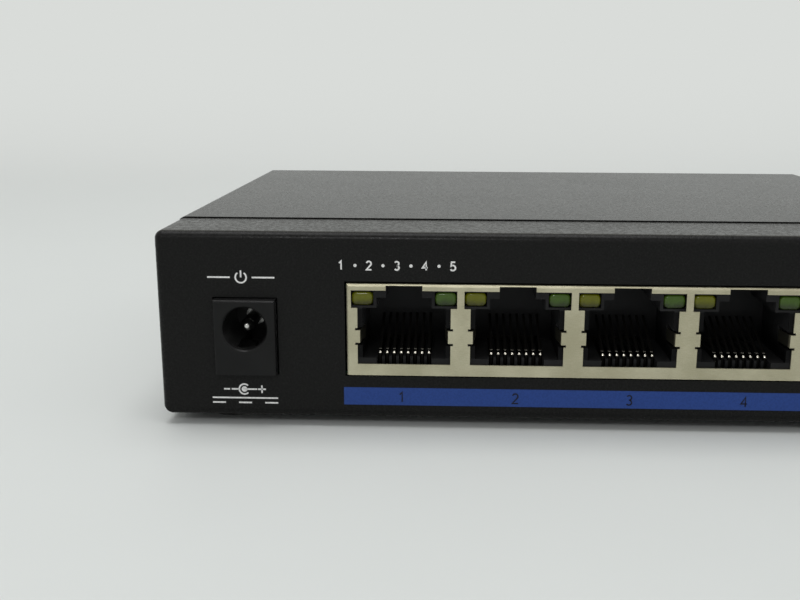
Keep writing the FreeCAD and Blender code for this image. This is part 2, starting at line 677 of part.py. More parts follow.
def build_shield():
    """Fold the shield around the ports, open its windows and bend the spring fingers in."""
    body = start_body("port_shield", GANG)
    block(body, "shell", ("0", "0", "0"), ("gang_width", "shield_depth", "shield_height"))
    lines = [{"x": side, "y": "0"} for side in ("0", "gang_width")]
    lines.append({"y": "0", "z": "shield_height"})
    dress(body, "Fillet", "folds", "2 * shield_sheet", lines)
    under = "shield_height - shield_sheet"
    block(body, "inside", ("shield_sheet", "shield_sheet", "-over_cut"),
          ("gang_width - shield_sheet", "shield_depth - shield_sheet", under), cut=True)
    right = [("opening_width / 2", "opening_floor"), ("opening_width / 2", "opening_top"),
             ("led_row_width / 2", "opening_top"), ("led_row_width / 2", "led_row_top"),
             ("latch_width / 2", "led_row_top"), ("latch_width / 2", under)]
    cuts = [pocket(body, "window", port_outline(body, "window_outline", right), "2 * shield_sheet")]
    for edge in ("port_centre - opening_width / 2", "port_centre + opening_width / 2"):
        for low in ("finger_bottom - finger_relief", "finger_bottom + finger_height"):
            high = f"{low} + finger_relief"
            cuts.append(block(body, "relief", (f"{edge} - finger_relief", "-over_cut", low),
                              (f"{edge} + finger_relief", "2 * shield_sheet", high), cut=True))
    repeat(body, "windows", cuts, "X", "row_length", PORT_COUNT)
    fingers = [build_finger(body, "left", "port_centre - opening_width / 2", "+", "-"),
               build_finger(body, "right", "port_centre + opening_width / 2", "-", "+")]
    repeat(body, "fingers", fingers, "X", "row_length", PORT_COUNT)
    for low, high in leg_spots():
        block(body, "leg", (*low, "-board_thickness - lead_drop"), (*high, "leg_root"))


def build_finger(body, name, edge, inward, outward):
    """One spring finger: a strip that leaves the window's edge and slopes back into the port."""
    corners = [(f"{edge} {outward} finger_root", "0"),
               (f"{edge} {inward} (finger_reach - 2 * shield_sheet)", "0"),
               (f"{edge} {inward} finger_reach", "finger_depth"),
               (f"{edge} {inward} (finger_reach - shield_sheet)", "finger_depth"),
               (f"{edge} {inward} (finger_reach - 3 * shield_sheet)", "shield_sheet"),
               (f"{edge} {outward} finger_root", "shield_sheet")]
    sketch = outline(body, f"{name}_finger_profile", "XY", corners, offset="finger_bottom")
    return pad(body, f"{name}_finger", sketch, "finger_height")


def build_housing():
    """Mould the port housing: keyed plug cavities, LED ways, finger rooms and contact combs."""
    body = start_body("port_housing", GANG)
    block(body, "body", ("housing_front", "housing_front", "0"),
          ("gang_width - housing_front", "housing_depth", "housing_top"))
    key = "latch_width / 2 - housing_gap"
    right = [("cavity_half", "cavity_floor"), ("cavity_half", "opening_top"),
             ("latch_step_half", "opening_top"), ("latch_step_half", "latch_step_top"),
             (key, "latch_step_top"), (key, "shield_height")]
    cuts = [pocket(body, "cavity", port_outline(body, "cavity_outline", right), "cavity_depth")]
    for low in ("left_led", "right_led"):
        cuts.append(block(body, "led_way", (f"{low} - housing_gap", "0", "led_bottom"),
                          (f"{low} + led_width + housing_gap", "housing_depth + over_cut",
                           "led_top + housing_gap"), cut=True))
    ledge = "cavity_half - housing_gap"
    for low, high in (("-opening_width / 2", f"-({ledge})"), (f"+ {ledge}", "+ opening_width / 2")):
        cuts.append(block(body, "finger_room", (f"port_centre {low}", "0", "finger_bottom - finger_room"),
                          (f"port_centre {high}", "finger_depth + finger_room_back",
                           "finger_bottom + finger_height + finger_room"), cut=True))
    exit_half = "contact_row / 2 + comb_slot / 2"
    cuts.append(block(body, "contact_exit", (f"port_centre - ({exit_half})", "cavity_depth", "comb_floor"),
                      (f"port_centre + {exit_half}", "housing_depth + over_cut", "cavity_floor + exit_rise"),
                      cut=True))
    recess_half = f"{exit_half} + comb_recess_side"
    cuts.append(block(body, "comb_recess", (f"port_centre - ({recess_half})", "0", "comb_floor"),
                      (f"port_centre + {recess_half}", "comb_recess", "cavity_floor + comb_gap"), cut=True))
    repeat(body, "ports", cuts, "X", "row_length", PORT_COUNT)
    for index in range(PORT_COUNT):
        first = f"port_centre + {index} * port_pitch - ({exit_half})"
        slot = block(body, "comb_slot", (first, "comb_front", "comb_floor"),
                     (f"{first} + comb_slot", "cavity_depth", "cavity_floor + comb_gap"), cut=True)
        repeat(body, "comb", [slot], "X", "contact_row", CONTACT_COUNT)


def build_contacts(index):
    """Eight bent spring contacts of one port."""
    body = start_body(f"port_{index + 1}_contacts", GANG)
    inside = "contact_front + contact_thickness"
    under_arm = "contact_crest + (contact_slope - 1) * contact_thickness"
    corners = [("contact_drop + contact_thickness", "0"),
               ("contact_drop", "0"),
               ("contact_drop", "comb_floor"),
               ("contact_front + contact_bend", "comb_floor"),
               ("contact_front", "comb_floor + contact_bend"),
               ("contact_front", "contact_crest - contact_bend / 2"),
               ("contact_front + contact_bend / 2", "contact_crest + contact_slope * contact_bend / 2"),
               ("contact_tip_y", "contact_tip_z"),
               ("contact_tip_y", "contact_tip_z - contact_thickness"),
               (inside, under_arm),
               (inside, "comb_floor + contact_thickness"),
               ("contact_drop + contact_thickness", "comb_floor + contact_thickness")]
    first = f"port_centre + {index} * port_pitch - contact_row / 2 - contact_width / 2"
    sketch = outline(body, f"contact_profile_{index}", "YZ", corners, offset=first)
    contact = pad(body, "contact", sketch, "contact_width")
    repeat(body, "contacts", [contact], "X", "contact_row", CONTACT_COUNT)


def build_led(index, side):
    """One indicator LED: a lens in the housing and two bent leads down to the board."""
    body = start_body(f"port_{index + 1}_{side}_led", GANG)
    left = f"{side}_led + {index} * port_pitch"
    right = f"{left} + led_width"
    back = "housing_front + led_length"
    block(body, "lens", (left, "housing_front", "led_bottom"), (right, back, "led_top"))
    lines = [{"x": side, "z": level} for side in (left, right) for level in ("led_bottom", "led_top")]
    dress(body, "Chamfer", "lens_edges", "led_edge", lines)
    low = "led_bottom + led_lead_rise"
    bend = "contact_drop + led_lead"
    profile = [(back, low), ("contact_drop", low), ("contact_drop", "0"), (bend, "0"),
               (bend, f"{low} + led_lead"), (back, f"{low} + led_lead")]
    for name, shift in (("near", "led_lead_inset"), ("far", "led_width - led_lead_inset - led_lead")):
        sketch = outline(body, f"{name}_lead_{side}_{index}", "YZ", profile, offset=f"{left} + {shift}")
        pad(body, f"{name}_lead", sketch, "led_lead")


def build_jack():
    """The moulded housing of the power inlet."""
    body = start_body("jack_housing", JACK)
    block(body, "face_block", ("-jack_half", "0", "0"), ("jack_half", "jack_collar", "jack_height"))
    front = mirrored([{"x": "jack_half", "y": "0"}])
    front.append({"y": "0", "z": "jack_height"})
    dress(body, "Fillet", "face_edges", "jack_edge", front)
    waist = "jack_half - jack_waist"
    block(body, "rear_block", (f"-({waist})", "jack_collar", "0"), (waist, "jack_length", "jack_axis"))
    rod(body, "rear_round", ("0", "jack_collar - jack_waist", "jack_axis"), "y", waist,
        "jack_length - jack_collar + jack_waist")
    rod(body, "bore", ("0", "-over_cut", "jack_axis"), "y", "jack_bore / 2",
        "jack_bore_depth + over_cut", cut=True)
    cone(body, "bore_mouth", ("0", "-jack_flare", "jack_axis"), "y",
         ("jack_bore / 2 + 2 * jack_flare", "jack_bore / 2"), "2 * jack_flare", cut=True)
    block(body, "pin_way", *pin_shank("jack_pin_gap", "over_cut"), cut=True)
    half = "spring_width / 2 + spring_gap"
    back = "spring_tab_y + spring_sheet + spring_room"
    floor = "spring_run - spring_sheet - spring_room"
    block(body, "spring_way", (f"-({half})", "spring_front - spring_room", floor),
          (half, back, "spring_top + spring_room"), cut=True)
    block(body, "spring_drop", (f"-({half})", "spring_tab_y - spring_room", "-over_cut"),
          (half, back, "spring_run + spring_room"), cut=True)


def pin_shank(room, past):
    """Corners of the square shank behind the pin's shoulder, with room around and past it."""
    half = f"jack_pin / 2 + {room}"
    low = (f"-({half})", f"jack_bore_depth - {past}", f"jack_axis - ({half})")
    return low, (half, f"jack_length + {past}", f"jack_axis + {half}")


def build_jack_pin():
    """The turned centre pin with its shoulder and solder tab."""
    body = start_body("jack_pin", JACK)
    radius = "jack_pin / 2"
    tip = "jack_pin_tip / 2"
    cone(body, "nose", ("0", "jack_pin_back", "jack_axis"), "y", (tip, radius), "jack_pin_nose")
    start = "jack_pin_back + jack_pin_nose"
    rod(body, "pin", ("0", start, "jack_axis"), "y", radius, f"jack_bore_depth - ({start})")
    block(body, "shank", *pin_shank("0", "0"))
    rod(body, "shoulder", ("0", "jack_bore_depth - jack_shoulder_length", "jack_axis"), "y",
        f"{radius} + jack_shoulder", "jack_shoulder_length")
    low, high = JACK_PIN_TAB
    block(body, "tab", (*low, "-board_thickness - lead_drop"), (*high, "jack_axis + jack_tab_over"))


def build_jack_spring():
    """The sleeve spring along the floor of the inlet bore."""
    body = start_body("jack_spring", JACK)
    low, high = JACK_SPRING_TAB
    end = "-board_thickness - lead_drop"
    corners = [(high[1], end), (high[1], "spring_run"), ("spring_foot_y", "spring_run"),
               ("spring_crest_y", "spring_top"), ("spring_front", "bore_floor"),
               ("spring_front", "bore_floor - spring_sheet"),
               ("spring_crest_y", "spring_top - spring_sheet"),
               ("spring_foot_y", "spring_run - spring_sheet"), (low[1], "spring_run - spring_sheet"),
               (low[1], end)]
    sketch = outline(body, "spring_profile", "YZ", corners, offset=low[0])
    pad(body, "spring", sketch, "spring_width")


def build_leaded_block(label, centre, halves, lift, height, row_count):
    """A moulded block on two rows of leads along its front and back."""
    body = start_body(label, BOARD)
    (left, front), (right, back) = around(centre, halves)
    block(body, "mould", (left, front, lift), (right, back, height))
    first = f"{centre[0]} - {(row_count - 1) / 2} * lead_pitch - lead_width / 2"
    leads = []
    for low, high in ((f"{front} - lead_reach", front), (back, f"{back} + lead_reach")):
        leads.append(block(body, "lead", (first, low, "0"), (f"{first} + lead_width", high, "lead_height")))
    repeat(body, "leads", leads, "X", f"{row_count - 1} * lead_pitch", row_count)


def build_board_parts():
    """The chips, transformers and power parts on the board."""
    halves = ("transformer_width / 2", "transformer_depth / 2")
    for index in range(PORT_COUNT):
        centre = (f"gang_left + port_centre + {index} * port_pitch", f"transformer_front + {halves[1]}")
        build_leaded_block(f"port_{index + 1}_transformer", centre, halves,
                           "transformer_lift", "transformer_height", TRANSFORMER_LEADS)
    build_leaded_block("switch_chip", ("chip_x", "chip_y"), ("chip_side / 2", "chip_side / 2"),
                       "chip_lift", "chip_height", CHIP_LEADS)
    build_leaded_block("port_power_chip", ("power_chip_x", "power_chip_y"),
                       ("power_chip_width / 2", "power_chip_depth / 2"),
                       "chip_lift", "chip_height", POWER_CHIP_LEADS)
    build_leaded_block("converter_chip", ("converter_x", "converter_y"),
                       ("converter_width / 2", "converter_depth / 2"),
                       "chip_lift", "chip_height", CONVERTER_LEADS)
    for index, along in enumerate(("capacitor_front", "capacitor_front + capacitor_spacing"), start=1):
        body = start_body(f"bulk_capacitor_{index}", BOARD)
        rod(body, "can", ("capacitor_x", along, "0"), "z", "capacitor_diameter / 2", "capacitor_height")
    build_cut_block("power_inductor", ("inductor_x", "inductor_y"),
                    ("inductor_side / 2", "inductor_side / 2"), "inductor_height", "inductor_corner")
    build_cut_block("crystal", ("crystal_x", "crystal_y"),
                    ("crystal_length / 2", "crystal_width / 2"), "crystal_height", "crystal_corner")


def build_cut_block(label, centre, halves, height, corner):
    """A block on the board with its four upright edges chamfered."""
    body = start_body(label, BOARD)
    (left, front), (right, back) = around(centre, halves)
    block(body, "block", (left, front, "0"), (right, back, height))
    lines = [{"x": side, "y": along} for side in (left, right) for along in (front, back)]
    dress(body, "Chamfer", "corners", corner, lines)


def export_parts():
    """Check every sub-part and write it to its own file."""
    doc.recompute()
    os.makedirs("parts", exist_ok=True)
    for body in finished:
        for item in [body, *body.Group]:
            if "Invalid" in item.State or "Error" in item.State:
                raise RuntimeError(f"{body.Label}: {item.Label} is {item.State}")
        if not body.Shape.isValid() or not body.Shape.Solids:
            raise RuntimeError(f"{body.Label} has no valid solid")
        body.Shape.exportStep(f"parts/{body.Label}.step")
        print(body.Label, len(body.Shape.Solids), round(body.Shape.Volume, 2))


sizes = fill_sheet()
build_tray()
build_cover()
build_screws()
build_feet()
build_board()
build_shield()
build_housing()
for port in range(PORT_COUNT):
    build_contacts(port)
    build_led(port, "left")
    build_led(port, "right")
build_jack()
build_jack_pin()
build_jack_spring()
build_board_parts()
export_parts()
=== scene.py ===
"""Finishes, printed marks and fine hardware of a small network switch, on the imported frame."""

from __future__ import annotations

import json
import logging
import math
from dataclasses import dataclass
from enum import Enum
from typing import Any, Iterable, Mapping, Sequence, Union

import bmesh
import bpy
from mathutils import Matrix, Vector

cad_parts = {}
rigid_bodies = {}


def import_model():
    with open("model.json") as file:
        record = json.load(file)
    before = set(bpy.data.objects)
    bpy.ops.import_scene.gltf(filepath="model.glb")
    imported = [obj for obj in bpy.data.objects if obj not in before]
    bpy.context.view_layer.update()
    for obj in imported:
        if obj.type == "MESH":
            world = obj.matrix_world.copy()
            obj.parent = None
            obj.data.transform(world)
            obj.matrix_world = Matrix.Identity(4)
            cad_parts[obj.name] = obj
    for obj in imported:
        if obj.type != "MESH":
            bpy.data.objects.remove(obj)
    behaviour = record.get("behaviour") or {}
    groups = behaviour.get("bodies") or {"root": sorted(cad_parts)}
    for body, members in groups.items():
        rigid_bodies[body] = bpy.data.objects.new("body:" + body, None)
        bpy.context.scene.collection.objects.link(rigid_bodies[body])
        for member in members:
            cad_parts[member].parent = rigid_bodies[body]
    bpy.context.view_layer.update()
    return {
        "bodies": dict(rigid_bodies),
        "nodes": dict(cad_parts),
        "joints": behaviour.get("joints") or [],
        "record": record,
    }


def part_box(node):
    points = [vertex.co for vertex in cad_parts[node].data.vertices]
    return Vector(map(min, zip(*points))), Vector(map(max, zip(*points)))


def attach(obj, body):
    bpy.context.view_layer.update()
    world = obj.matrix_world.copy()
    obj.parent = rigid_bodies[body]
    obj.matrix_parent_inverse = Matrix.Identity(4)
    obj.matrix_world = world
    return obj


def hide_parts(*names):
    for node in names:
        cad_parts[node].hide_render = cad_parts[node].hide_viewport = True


LOG = logging.getLogger("network_switch")
MM = 0.001
ROOT = "root"
PORTS = range(1, 6)

Colour = tuple[float, float, float]
Point = tuple[float, float, float]
Span = tuple[float, float]
Spot = tuple[float, float]
Seat = tuple[Vector, Vector]
Shape = bmesh.types.BMesh
Frame = Mapping[str, Any]

WHITE: Colour = (1.0, 1.0, 1.0)
EVEN: Point = (1.0, 1.0, 1.0)
OPAQUE = 1.0
COARSE_DETAIL = 2.0
FINE_DETAIL = 3.0
ROUND_PROFILE = 0.5

# Inputs of the Principled surface that the finishes set
LABELS = {
    "colour": "Base Color", "metallic": "Metallic", "roughness": "Roughness", "normal": "Normal",
    "level": "Specular IOR Level", "coat": "Coat Weight", "coat_roughness": "Coat Roughness",
}

# Numbers of the Mix node's colour sockets, which share their names with its other sockets
MIX_FACTOR = 0
MIX_FIRST = 6
MIX_SECOND = 7
MIX_RESULT = 2


class Socket:
    """A node socket that takes part in arithmetic."""

    def __init__(self, graph: Graph, plug: bpy.types.NodeSocket) -> None:
        """Keep the graph and the socket that carries the value."""
        self.graph = graph
        self.plug = plug

    def _math(self, operation: str, first: Operand, second: Operand) -> Socket:
        """One Math node on two operands."""
        return self.graph.node("ShaderNodeMath", {"operation": operation}, {0: first, 1: second})

    def __add__(self, other: Operand) -> Socket:
        """Sum."""
        return self._math("ADD", self, other)

    def __radd__(self, other: Operand) -> Socket:
        """Sum with the number first."""
        return self._math("ADD", other, self)

    def __sub__(self, other: Operand) -> Socket:
        """Difference."""
        return self._math("SUBTRACT", self, other)

    def __rsub__(self, other: Operand) -> Socket:
        """Difference with the number first."""
        return self._math("SUBTRACT", other, self)

    def __mul__(self, other: Operand) -> Socket:
        """Product."""
        return self._math("MULTIPLY", self, other)

    def __rmul__(self, other: Operand) -> Socket:
        """Product with the number first."""
        return self._math("MULTIPLY", other, self)

    def __truediv__(self, other: Operand) -> Socket:
        """Quotient."""
        return self._math("DIVIDE", self, other)

    def __rtruediv__(self, other: Operand) -> Socket:
        """Quotient with the number first."""
        return self._math("DIVIDE", other, self)

    def ramp(self, span: Span) -> Socket:
        """Smooth step from 0 at the start of a span to 1 at its end."""
        inputs = {"Value": self, "From Min": span[0], "From Max": span[1]}
        return self.graph.node("ShaderNodeMapRange", {"interpolation_type": "SMOOTHSTEP"}, inputs)

    def within(self, span: Span, fade: float) -> Socket:
        """One inside a span, with a soft fade to 0 beyond both its ends."""
        low, high = span
        return self.ramp((low - fade, low)) * (1.0 - self.ramp((high, high + fade)))

    def over(self, span: Span) -> Socket:
        """A value from 0 to 1 laid over a span."""
        low, high = span
        return low + (high - low) * self


Operand = Union[Socket, float]


def blend(patterns: Sequence[Socket], weights: Sequence[float]) -> Socket:
    """Sum of patterns, each by its weight."""
    first, *rest = [pattern * weight for pattern, weight in zip(patterns, weights)]
    return sum(rest, first)


class Graph:
    """Builds nodes in one node tree."""

    def __init__(self, tree: bpy.types.NodeTree) -> None:
        """Clear the tree and keep it."""
        self.tree = tree
        tree.nodes.clear()

    def make(self, kind: str, settings: Mapping[str, Any] | None = None,
             inputs: Mapping[str | int, Any] | None = None) -> bpy.types.Node:
        """Add a node.

        Args:
            kind: type name of the node.
            settings: properties, set before the inputs.
            inputs: values or sockets by input name or number.

        Returns:
            The node.
        """
        made = self.tree.nodes.new(kind)
        for key, value in (settings or {}).items():
            setattr(made, key, value)
        for key, value in (inputs or {}).items():
            self._feed(made.inputs[key], value)
        return made

    def node(self, kind: str, settings: Mapping[str, Any] | None = None,
             inputs: Mapping[str | int, Any] | None = None, output: str | int = 0) -> Socket:
        """Add a node as make does, and hand on one of its outputs by name or number."""
        return Socket(self, self.make(kind, settings, inputs).outputs[output])

    def _feed(self, target: bpy.types.NodeSocket, value: Any) -> None:
        """Link an input, or set its own value.

        Args:
            target: the input.
            value: a socket, a list of sockets for an input that takes several, or a plain value.
        """
        if isinstance(value, list):
            for item in value:
                self._feed(target, item)
        elif isinstance(value, Socket):
            self.tree.links.new(value.plug, target)
        elif target.type == "RGBA":
            target.default_value = (*value, OPAQUE)
        else:
            target.default_value = value


class ShaderGraph(Graph):
    """Builds the nodes of a surface or of the world."""

    def seen(self) -> Socket:
        """One for the rays that show the background: to the camera, off gloss and through glass.

        Returns:
            The value, from 0 to 1.
        """
        kinds = ("Camera", "Glossy", "Transmission")
        rays = [self.node("ShaderNodeLightPath", output=f"Is {kind} Ray") for kind in kinds]
        return sum(rays[1:], rays[0]).ramp((0.0, 1.0))

    def place(self) -> Socket:
        """Object coordinates, which are metres of the shared frame."""
        return self.node("ShaderNodeTexCoord", output="Object")

    def axis(self, name: str) -> Socket:
        """One of the object coordinates, by its letter."""
        return self.node("ShaderNodeSeparateXYZ", None, {0: self.place()}, name)

    def noise(self, size: float, detail: float = COARSE_DETAIL, stretch: Point = EVEN) -> Socket:
        """Noise of a feature size.

        Args:
            size: size of a feature in metres.
            detail: octaves of finer noise.
            stretch: scale of the pattern along each axis.

        Returns:
            The noise value, from 0 to 1.
        """
        spot = self.node("ShaderNodeMapping", None, {"Vector": self.place(), "Scale": stretch})
        inputs = {"Vector": spot, "Scale": 1.0 / size, "Detail": detail}
        return self.node("ShaderNodeTexNoise", None, inputs)

    def mix(self, factor: Operand, first: Colour | Socket, second: Colour | Socket) -> Socket:
        """Blend of two colours."""
        inputs = {MIX_FACTOR: factor, MIX_FIRST: first, MIX_SECOND: second}
        return self.node("ShaderNodeMix", {"data_type": "RGBA"}, inputs, MIX_RESULT)

    def bump(self, height: Socket, distance: float) -> Socket:
        """Normal bent by a height pattern whose full step is a distance in metres."""
        return self.node("ShaderNodeBump", None, {"Height": height, "Distance": distance})

    def surface(self, **values: Any) -> Socket:
        """Principled surface, with its inputs by their short labels."""
        inputs = {LABELS[key]: value for key, value in values.items()}
        return self.node("ShaderNodeBsdfPrincipled", None, inputs)

    def close(self, shader: Socket, kind: str = "ShaderNodeOutputMaterial") -> None:
        """Send a shader to the output."""
        self.make(kind, None, {"Surface": shader})


@dataclass(frozen=True)
class Finish:
    """A named surface that is built once and shared."""

    name: str

    def material(self) -> bpy.types.Material:
        """The material, built on first use.

        Returns:
            The material of this finish's name.
        """
        found = bpy.data.materials.get(self.name)
        if found is not None:
            return found
        made = bpy.data.materials.new(self.name)
        made.use_nodes = True
        graph = ShaderGraph(made.node_tree)
        graph.close(self.shade(graph))
        return made

    def shade(self, graph: ShaderGraph) -> Socket:
        """The surface shader of this finish."""
        raise NotImplementedError


@dataclass(frozen=True)
class PowderCoat(Finish):
    """Fine-grained black paint on the folded sheet."""

    low: Colour = (0.0085, 0.0085, 0.0082)
    high: Colour = (0.0125, 0.0125, 0.0120)
    grain: float = 0.26 * MM
    grain_limits: Span = (0.42, 0.66)
    blotch: float = 0.5 * MM
    blotch_limits: Span = (0.34, 0.66)
    wear: float = 20 * MM
    roughness: Span = (0.12, 0.42)
    roughness_weights: Point = (0.2, 0.3, 0.5)
    relief: float = 0.022 * MM
    relief_weights: Span = (0.7, 0.3)
    level: float = 0.10

    def shade(self, graph: ShaderGraph) -> Socket:
        """Speckled near-black with a bumpy, half-dull surface.

        Args:
            graph: where the nodes go.

        Returns:
            The surface shader.
        """
        grain = graph.noise(self.grain, FINE_DETAIL)
        blotch = graph.noise(self.blotch).ramp(self.blotch_limits)
        wear = graph.noise(self.wear)
        dullness = blend((wear, grain, blotch), self.roughness_weights)
        return graph.surface(
            colour=graph.mix(grain.ramp(self.grain_limits), self.low, self.high),
            roughness=dullness.over(self.roughness),
            level=self.level,
            normal=graph.bump(blend((grain, blotch), self.relief_weights), self.relief),
        )


@dataclass(frozen=True)
class PlatedSheet(Finish):
    """Dull plated shield sheet with rolling lines and faint stains, and painted shade inside the
    ports.
    """

    bright: Colour = (0.535, 0.508, 0.366)
    dull: Colour = (0.400, 0.376, 0.256)
    # Painted shade: the sheet's colour behind its front face, inside the ports
    inside: Colour = (0.05, 0.048, 0.036)
    depth: Span = (-43.19 * MM, -42.4 * MM)
    line: float = 0.9 * MM
    line_stretch: Point = (1.0, 1.0, 9.0)
    stain: float = 5 * MM
    speck: float = 0.12 * MM
    tone_weights: Point = (0.45, 0.25, 0.3)
    tone_limits: Span = (0.36, 0.64)
    metallic: float = 0.75
    roughness: Span = (0.34, 0.52)
    relief: float = 0.006 * MM
    relief_weights: Span = (0.6, 0.4)

    def shade(self, graph: ShaderGraph) -> Socket:
        """Metal whose colour and gloss follow streaks and stains, with painted shade behind its
        front.

        Args:
            graph: where the nodes go.

        Returns:
            The surface shader.
        """
        lines = graph.noise(self.line, FINE_DETAIL, self.line_stretch)
        stain = graph.noise(self.stain, FINE_DETAIL)
        speck = graph.noise(self.speck)
        tone = blend((stain, lines, speck), self.tone_weights).ramp(self.tone_limits)
        outside = graph.mix(tone, self.dull, self.bright)
        return graph.surface(
            colour=graph.mix(graph.axis("Y").ramp(self.depth), outside, self.inside),
            metallic=self.metallic,
            roughness=lines.over(self.roughness),
            normal=graph.bump(blend((lines, speck), self.relief_weights), self.relief),
        )


@dataclass(frozen=True)
class BareMetal(Finish):
    """Plain plated or turned metal."""

    bright: Colour = (0.72, 0.72, 0.71)
    dull: Colour = (0.48, 0.48, 0.48)
    grain: float = 0.4 * MM
    roughness: Span = (0.22, 0.4)
    grain_limits: Span = (0.3, 0.7)
    relief: float = 0.003 * MM

    def shade(self, graph: ShaderGraph) -> Socket:
        """Metal with a slightly uneven colour and gloss.

        Args:
            graph: where the nodes go.

        Returns:
            The surface shader.
        """
        tone = graph.noise(self.grain, FINE_DETAIL)
        return graph.surface(
            colour=graph.mix(tone.ramp(self.grain_limits), self.dull, self.bright),
            metallic=1.0,
            roughness=tone.over(self.roughness),
            normal=graph.bump(tone, self.relief),
        )


@dataclass(frozen=True)
class SpringPlate(Finish):
    """Contact springs, plated bright at the front bend, with painted shade along the arms:
    near-black and dull.
    """

    bright: Colour = (0.92, 0.88, 0.76)
    # Painted shade: the arms are near-black, as in the dark under the housing's ceiling
    painted_arm_shade: Colour = (0.0065, 0.0061, 0.0055)
    band: Span = (11.02 * MM, 11.38 * MM)
    fade: float = 0.12 * MM
    mottle: float = 0.6 * MM
    cover: Span = (0.8, 1.0)
    roughness: Span = (0.5, 0.08)
    level: float = 0.03
    relief: float = 0.002 * MM

    def shade(self, graph: ShaderGraph) -> Socket:
        """Metal whose plating ends softly above and below the bend, with painted shade on the
        arms beyond it.

        Args:
            graph: where the nodes go.

        Returns:
            The surface shader.
        """
        # The plated band is where the bend glints; outside it the arms get painted shade
        plated = graph.axis("Z").within(self.band, self.fade)
        mottle = graph.noise(self.mottle)
        return graph.surface(
            colour=graph.mix(plated * mottle.over(self.cover), self.painted_arm_shade, self.bright),
            metallic=plated,
            roughness=plated.over(self.roughness),
            level=self.level,
            normal=graph.bump(mottle, self.relief),
        )


@dataclass(frozen=True)
class Mould(Finish):
    """Moulded plastic or rubber with a fine eroded skin."""

    colour: Colour = (0.0055, 0.0055, 0.0057)
    worn: Colour = (0.0105, 0.0105, 0.0110)
    grain: float = 0.16 * MM
    relief: float = 0.008 * MM
    roughness: Span = (0.36, 0.5)
    level: float = 0.10
    patch: float = 4 * MM
    patch_limits: Span = (0.35, 0.75)

    def tone(self, graph: ShaderGraph, patch: Socket) -> Socket:
        """Colour of the plastic, lighter in patches."""
        return graph.mix(patch.ramp(self.patch_limits), self.colour, self.worn)

    def shade(self, graph: ShaderGraph) -> Socket:
        """Dark plastic, a little lighter and duller in patches.

        Args:
            graph: where the nodes go.

        Returns:
            The surface shader.
        """
        skin = graph.noise(self.grain)
        patch = graph.noise(self.patch, FINE_DETAIL)
        return graph.surface(
            colour=self.tone(graph, patch),
            roughness=patch.over(self.roughness),
            level=self.level,
            normal=graph.bump(skin, self.relief),
        )


@dataclass(frozen=True)
class HollowMould(Mould):
    """Moulding with painted light: greyer in its hollow."""

    # Painted light: the tone of the hollow behind the front
    inside: Colour = (0.020, 0.020, 0.020)
    depth: Span = (-43.95 * MM, -43.6 * MM)

    def tone(self, graph: ShaderGraph, patch: Socket) -> Socket:
        """Colour of the plastic, with painted light: greyer behind its front."""
        front = super().tone(graph, patch)
        return graph.mix(graph.axis("Y").ramp(self.depth), front, self.inside)


@dataclass(frozen=True)
class PortMould(Mould):
    """Port moulding with painted shade on the ledges beside its cavities and painted light, a
    greyer tone, high inside them.
    """

    # Painted light: greyer high inside the cavities
    inside: Colour = (0.024, 0.024, 0.025)
    depth: Span = (-42.85 * MM, -42.6 * MM)
    rise: Span = (11.5 * MM, 15.0 * MM)
    # Painted shade: darker on the ledges beside the cavities
    painted_ledge_shade: Colour = (0.0025, 0.0025, 0.0027)
    ledge_levels: Span = (10.75 * MM, 17.85 * MM)
    fade: float = 0.12 * MM

    def tone(self, graph: ShaderGraph, patch: Socket) -> Socket:
        """Colour of the plastic by its height and its depth behind the front, with painted shade
        on the ledges and painted light high inside.

        Args:
            graph: where the nodes go.
            patch: pattern of the lighter patches.

        Returns:
            The colour.
        """
        up = graph.axis("Z")
        beside = up.within(self.ledge_levels, self.fade)
        front = graph.mix(beside, super().tone(graph, patch), self.painted_ledge_shade)
        hollow = graph.axis("Y").ramp(self.depth) * up.ramp(self.rise)
        return graph.mix(hollow, front, self.inside)


class Tint(Enum):
    """Colours of the indicator lenses: with painted shade near the underside, and painted light
    near the top.
    """

    YELLOW = ((0.038, 0.038, 0.008), (0.122, 0.130, 0.002))
    GREEN = ((0.021, 0.030, 0.011), (0.049, 0.100, 0.010))


@dataclass(frozen=True)
class TintedLens(Finish):
    """Clouded epoxy of an unlit indicator."""

    tint: Tint = Tint.YELLOW
    cloud: float = 1.1 * MM
    levels: Span = (18.3 * MM, 20.3 * MM)
    tone_weights: Span = (0.75, 0.5)
    tone_limits: Span = (0.15, 0.85)
    skin: float = 0.5 * MM
    relief: float = 0.006 * MM
    roughness: Span = (0.20, 0.34)
    level: float = 0.1
    coat: float = 0.45
    coat_roughness: float = 0.05

    def shade(self, graph: ShaderGraph) -> Socket:
        """Tinted epoxy, clouded, greyer with painted shade towards its underside and lighter with
        painted light towards its top, under a clear skin.

        Args:
            graph: where the nodes go.

        Returns:
            The surface shader.
        """
        # Painted light and shade: the tint is lighter towards the top and darker towards the
        # underside
        shaded_tint, clear = self.tint.value
        cloud = graph.noise(self.cloud)
        rise = graph.axis("Z").ramp(self.levels)
        tone = blend((rise, cloud), self.tone_weights).ramp(self.tone_limits)
        return graph.surface(
            colour=graph.mix(tone, shaded_tint, clear),
            roughness=cloud.over(self.roughness),
            level=self.level,
            coat=self.coat,
            coat_roughness=self.coat_roughness,
            normal=graph.bump(graph.noise(self.skin), self.relief),
        )


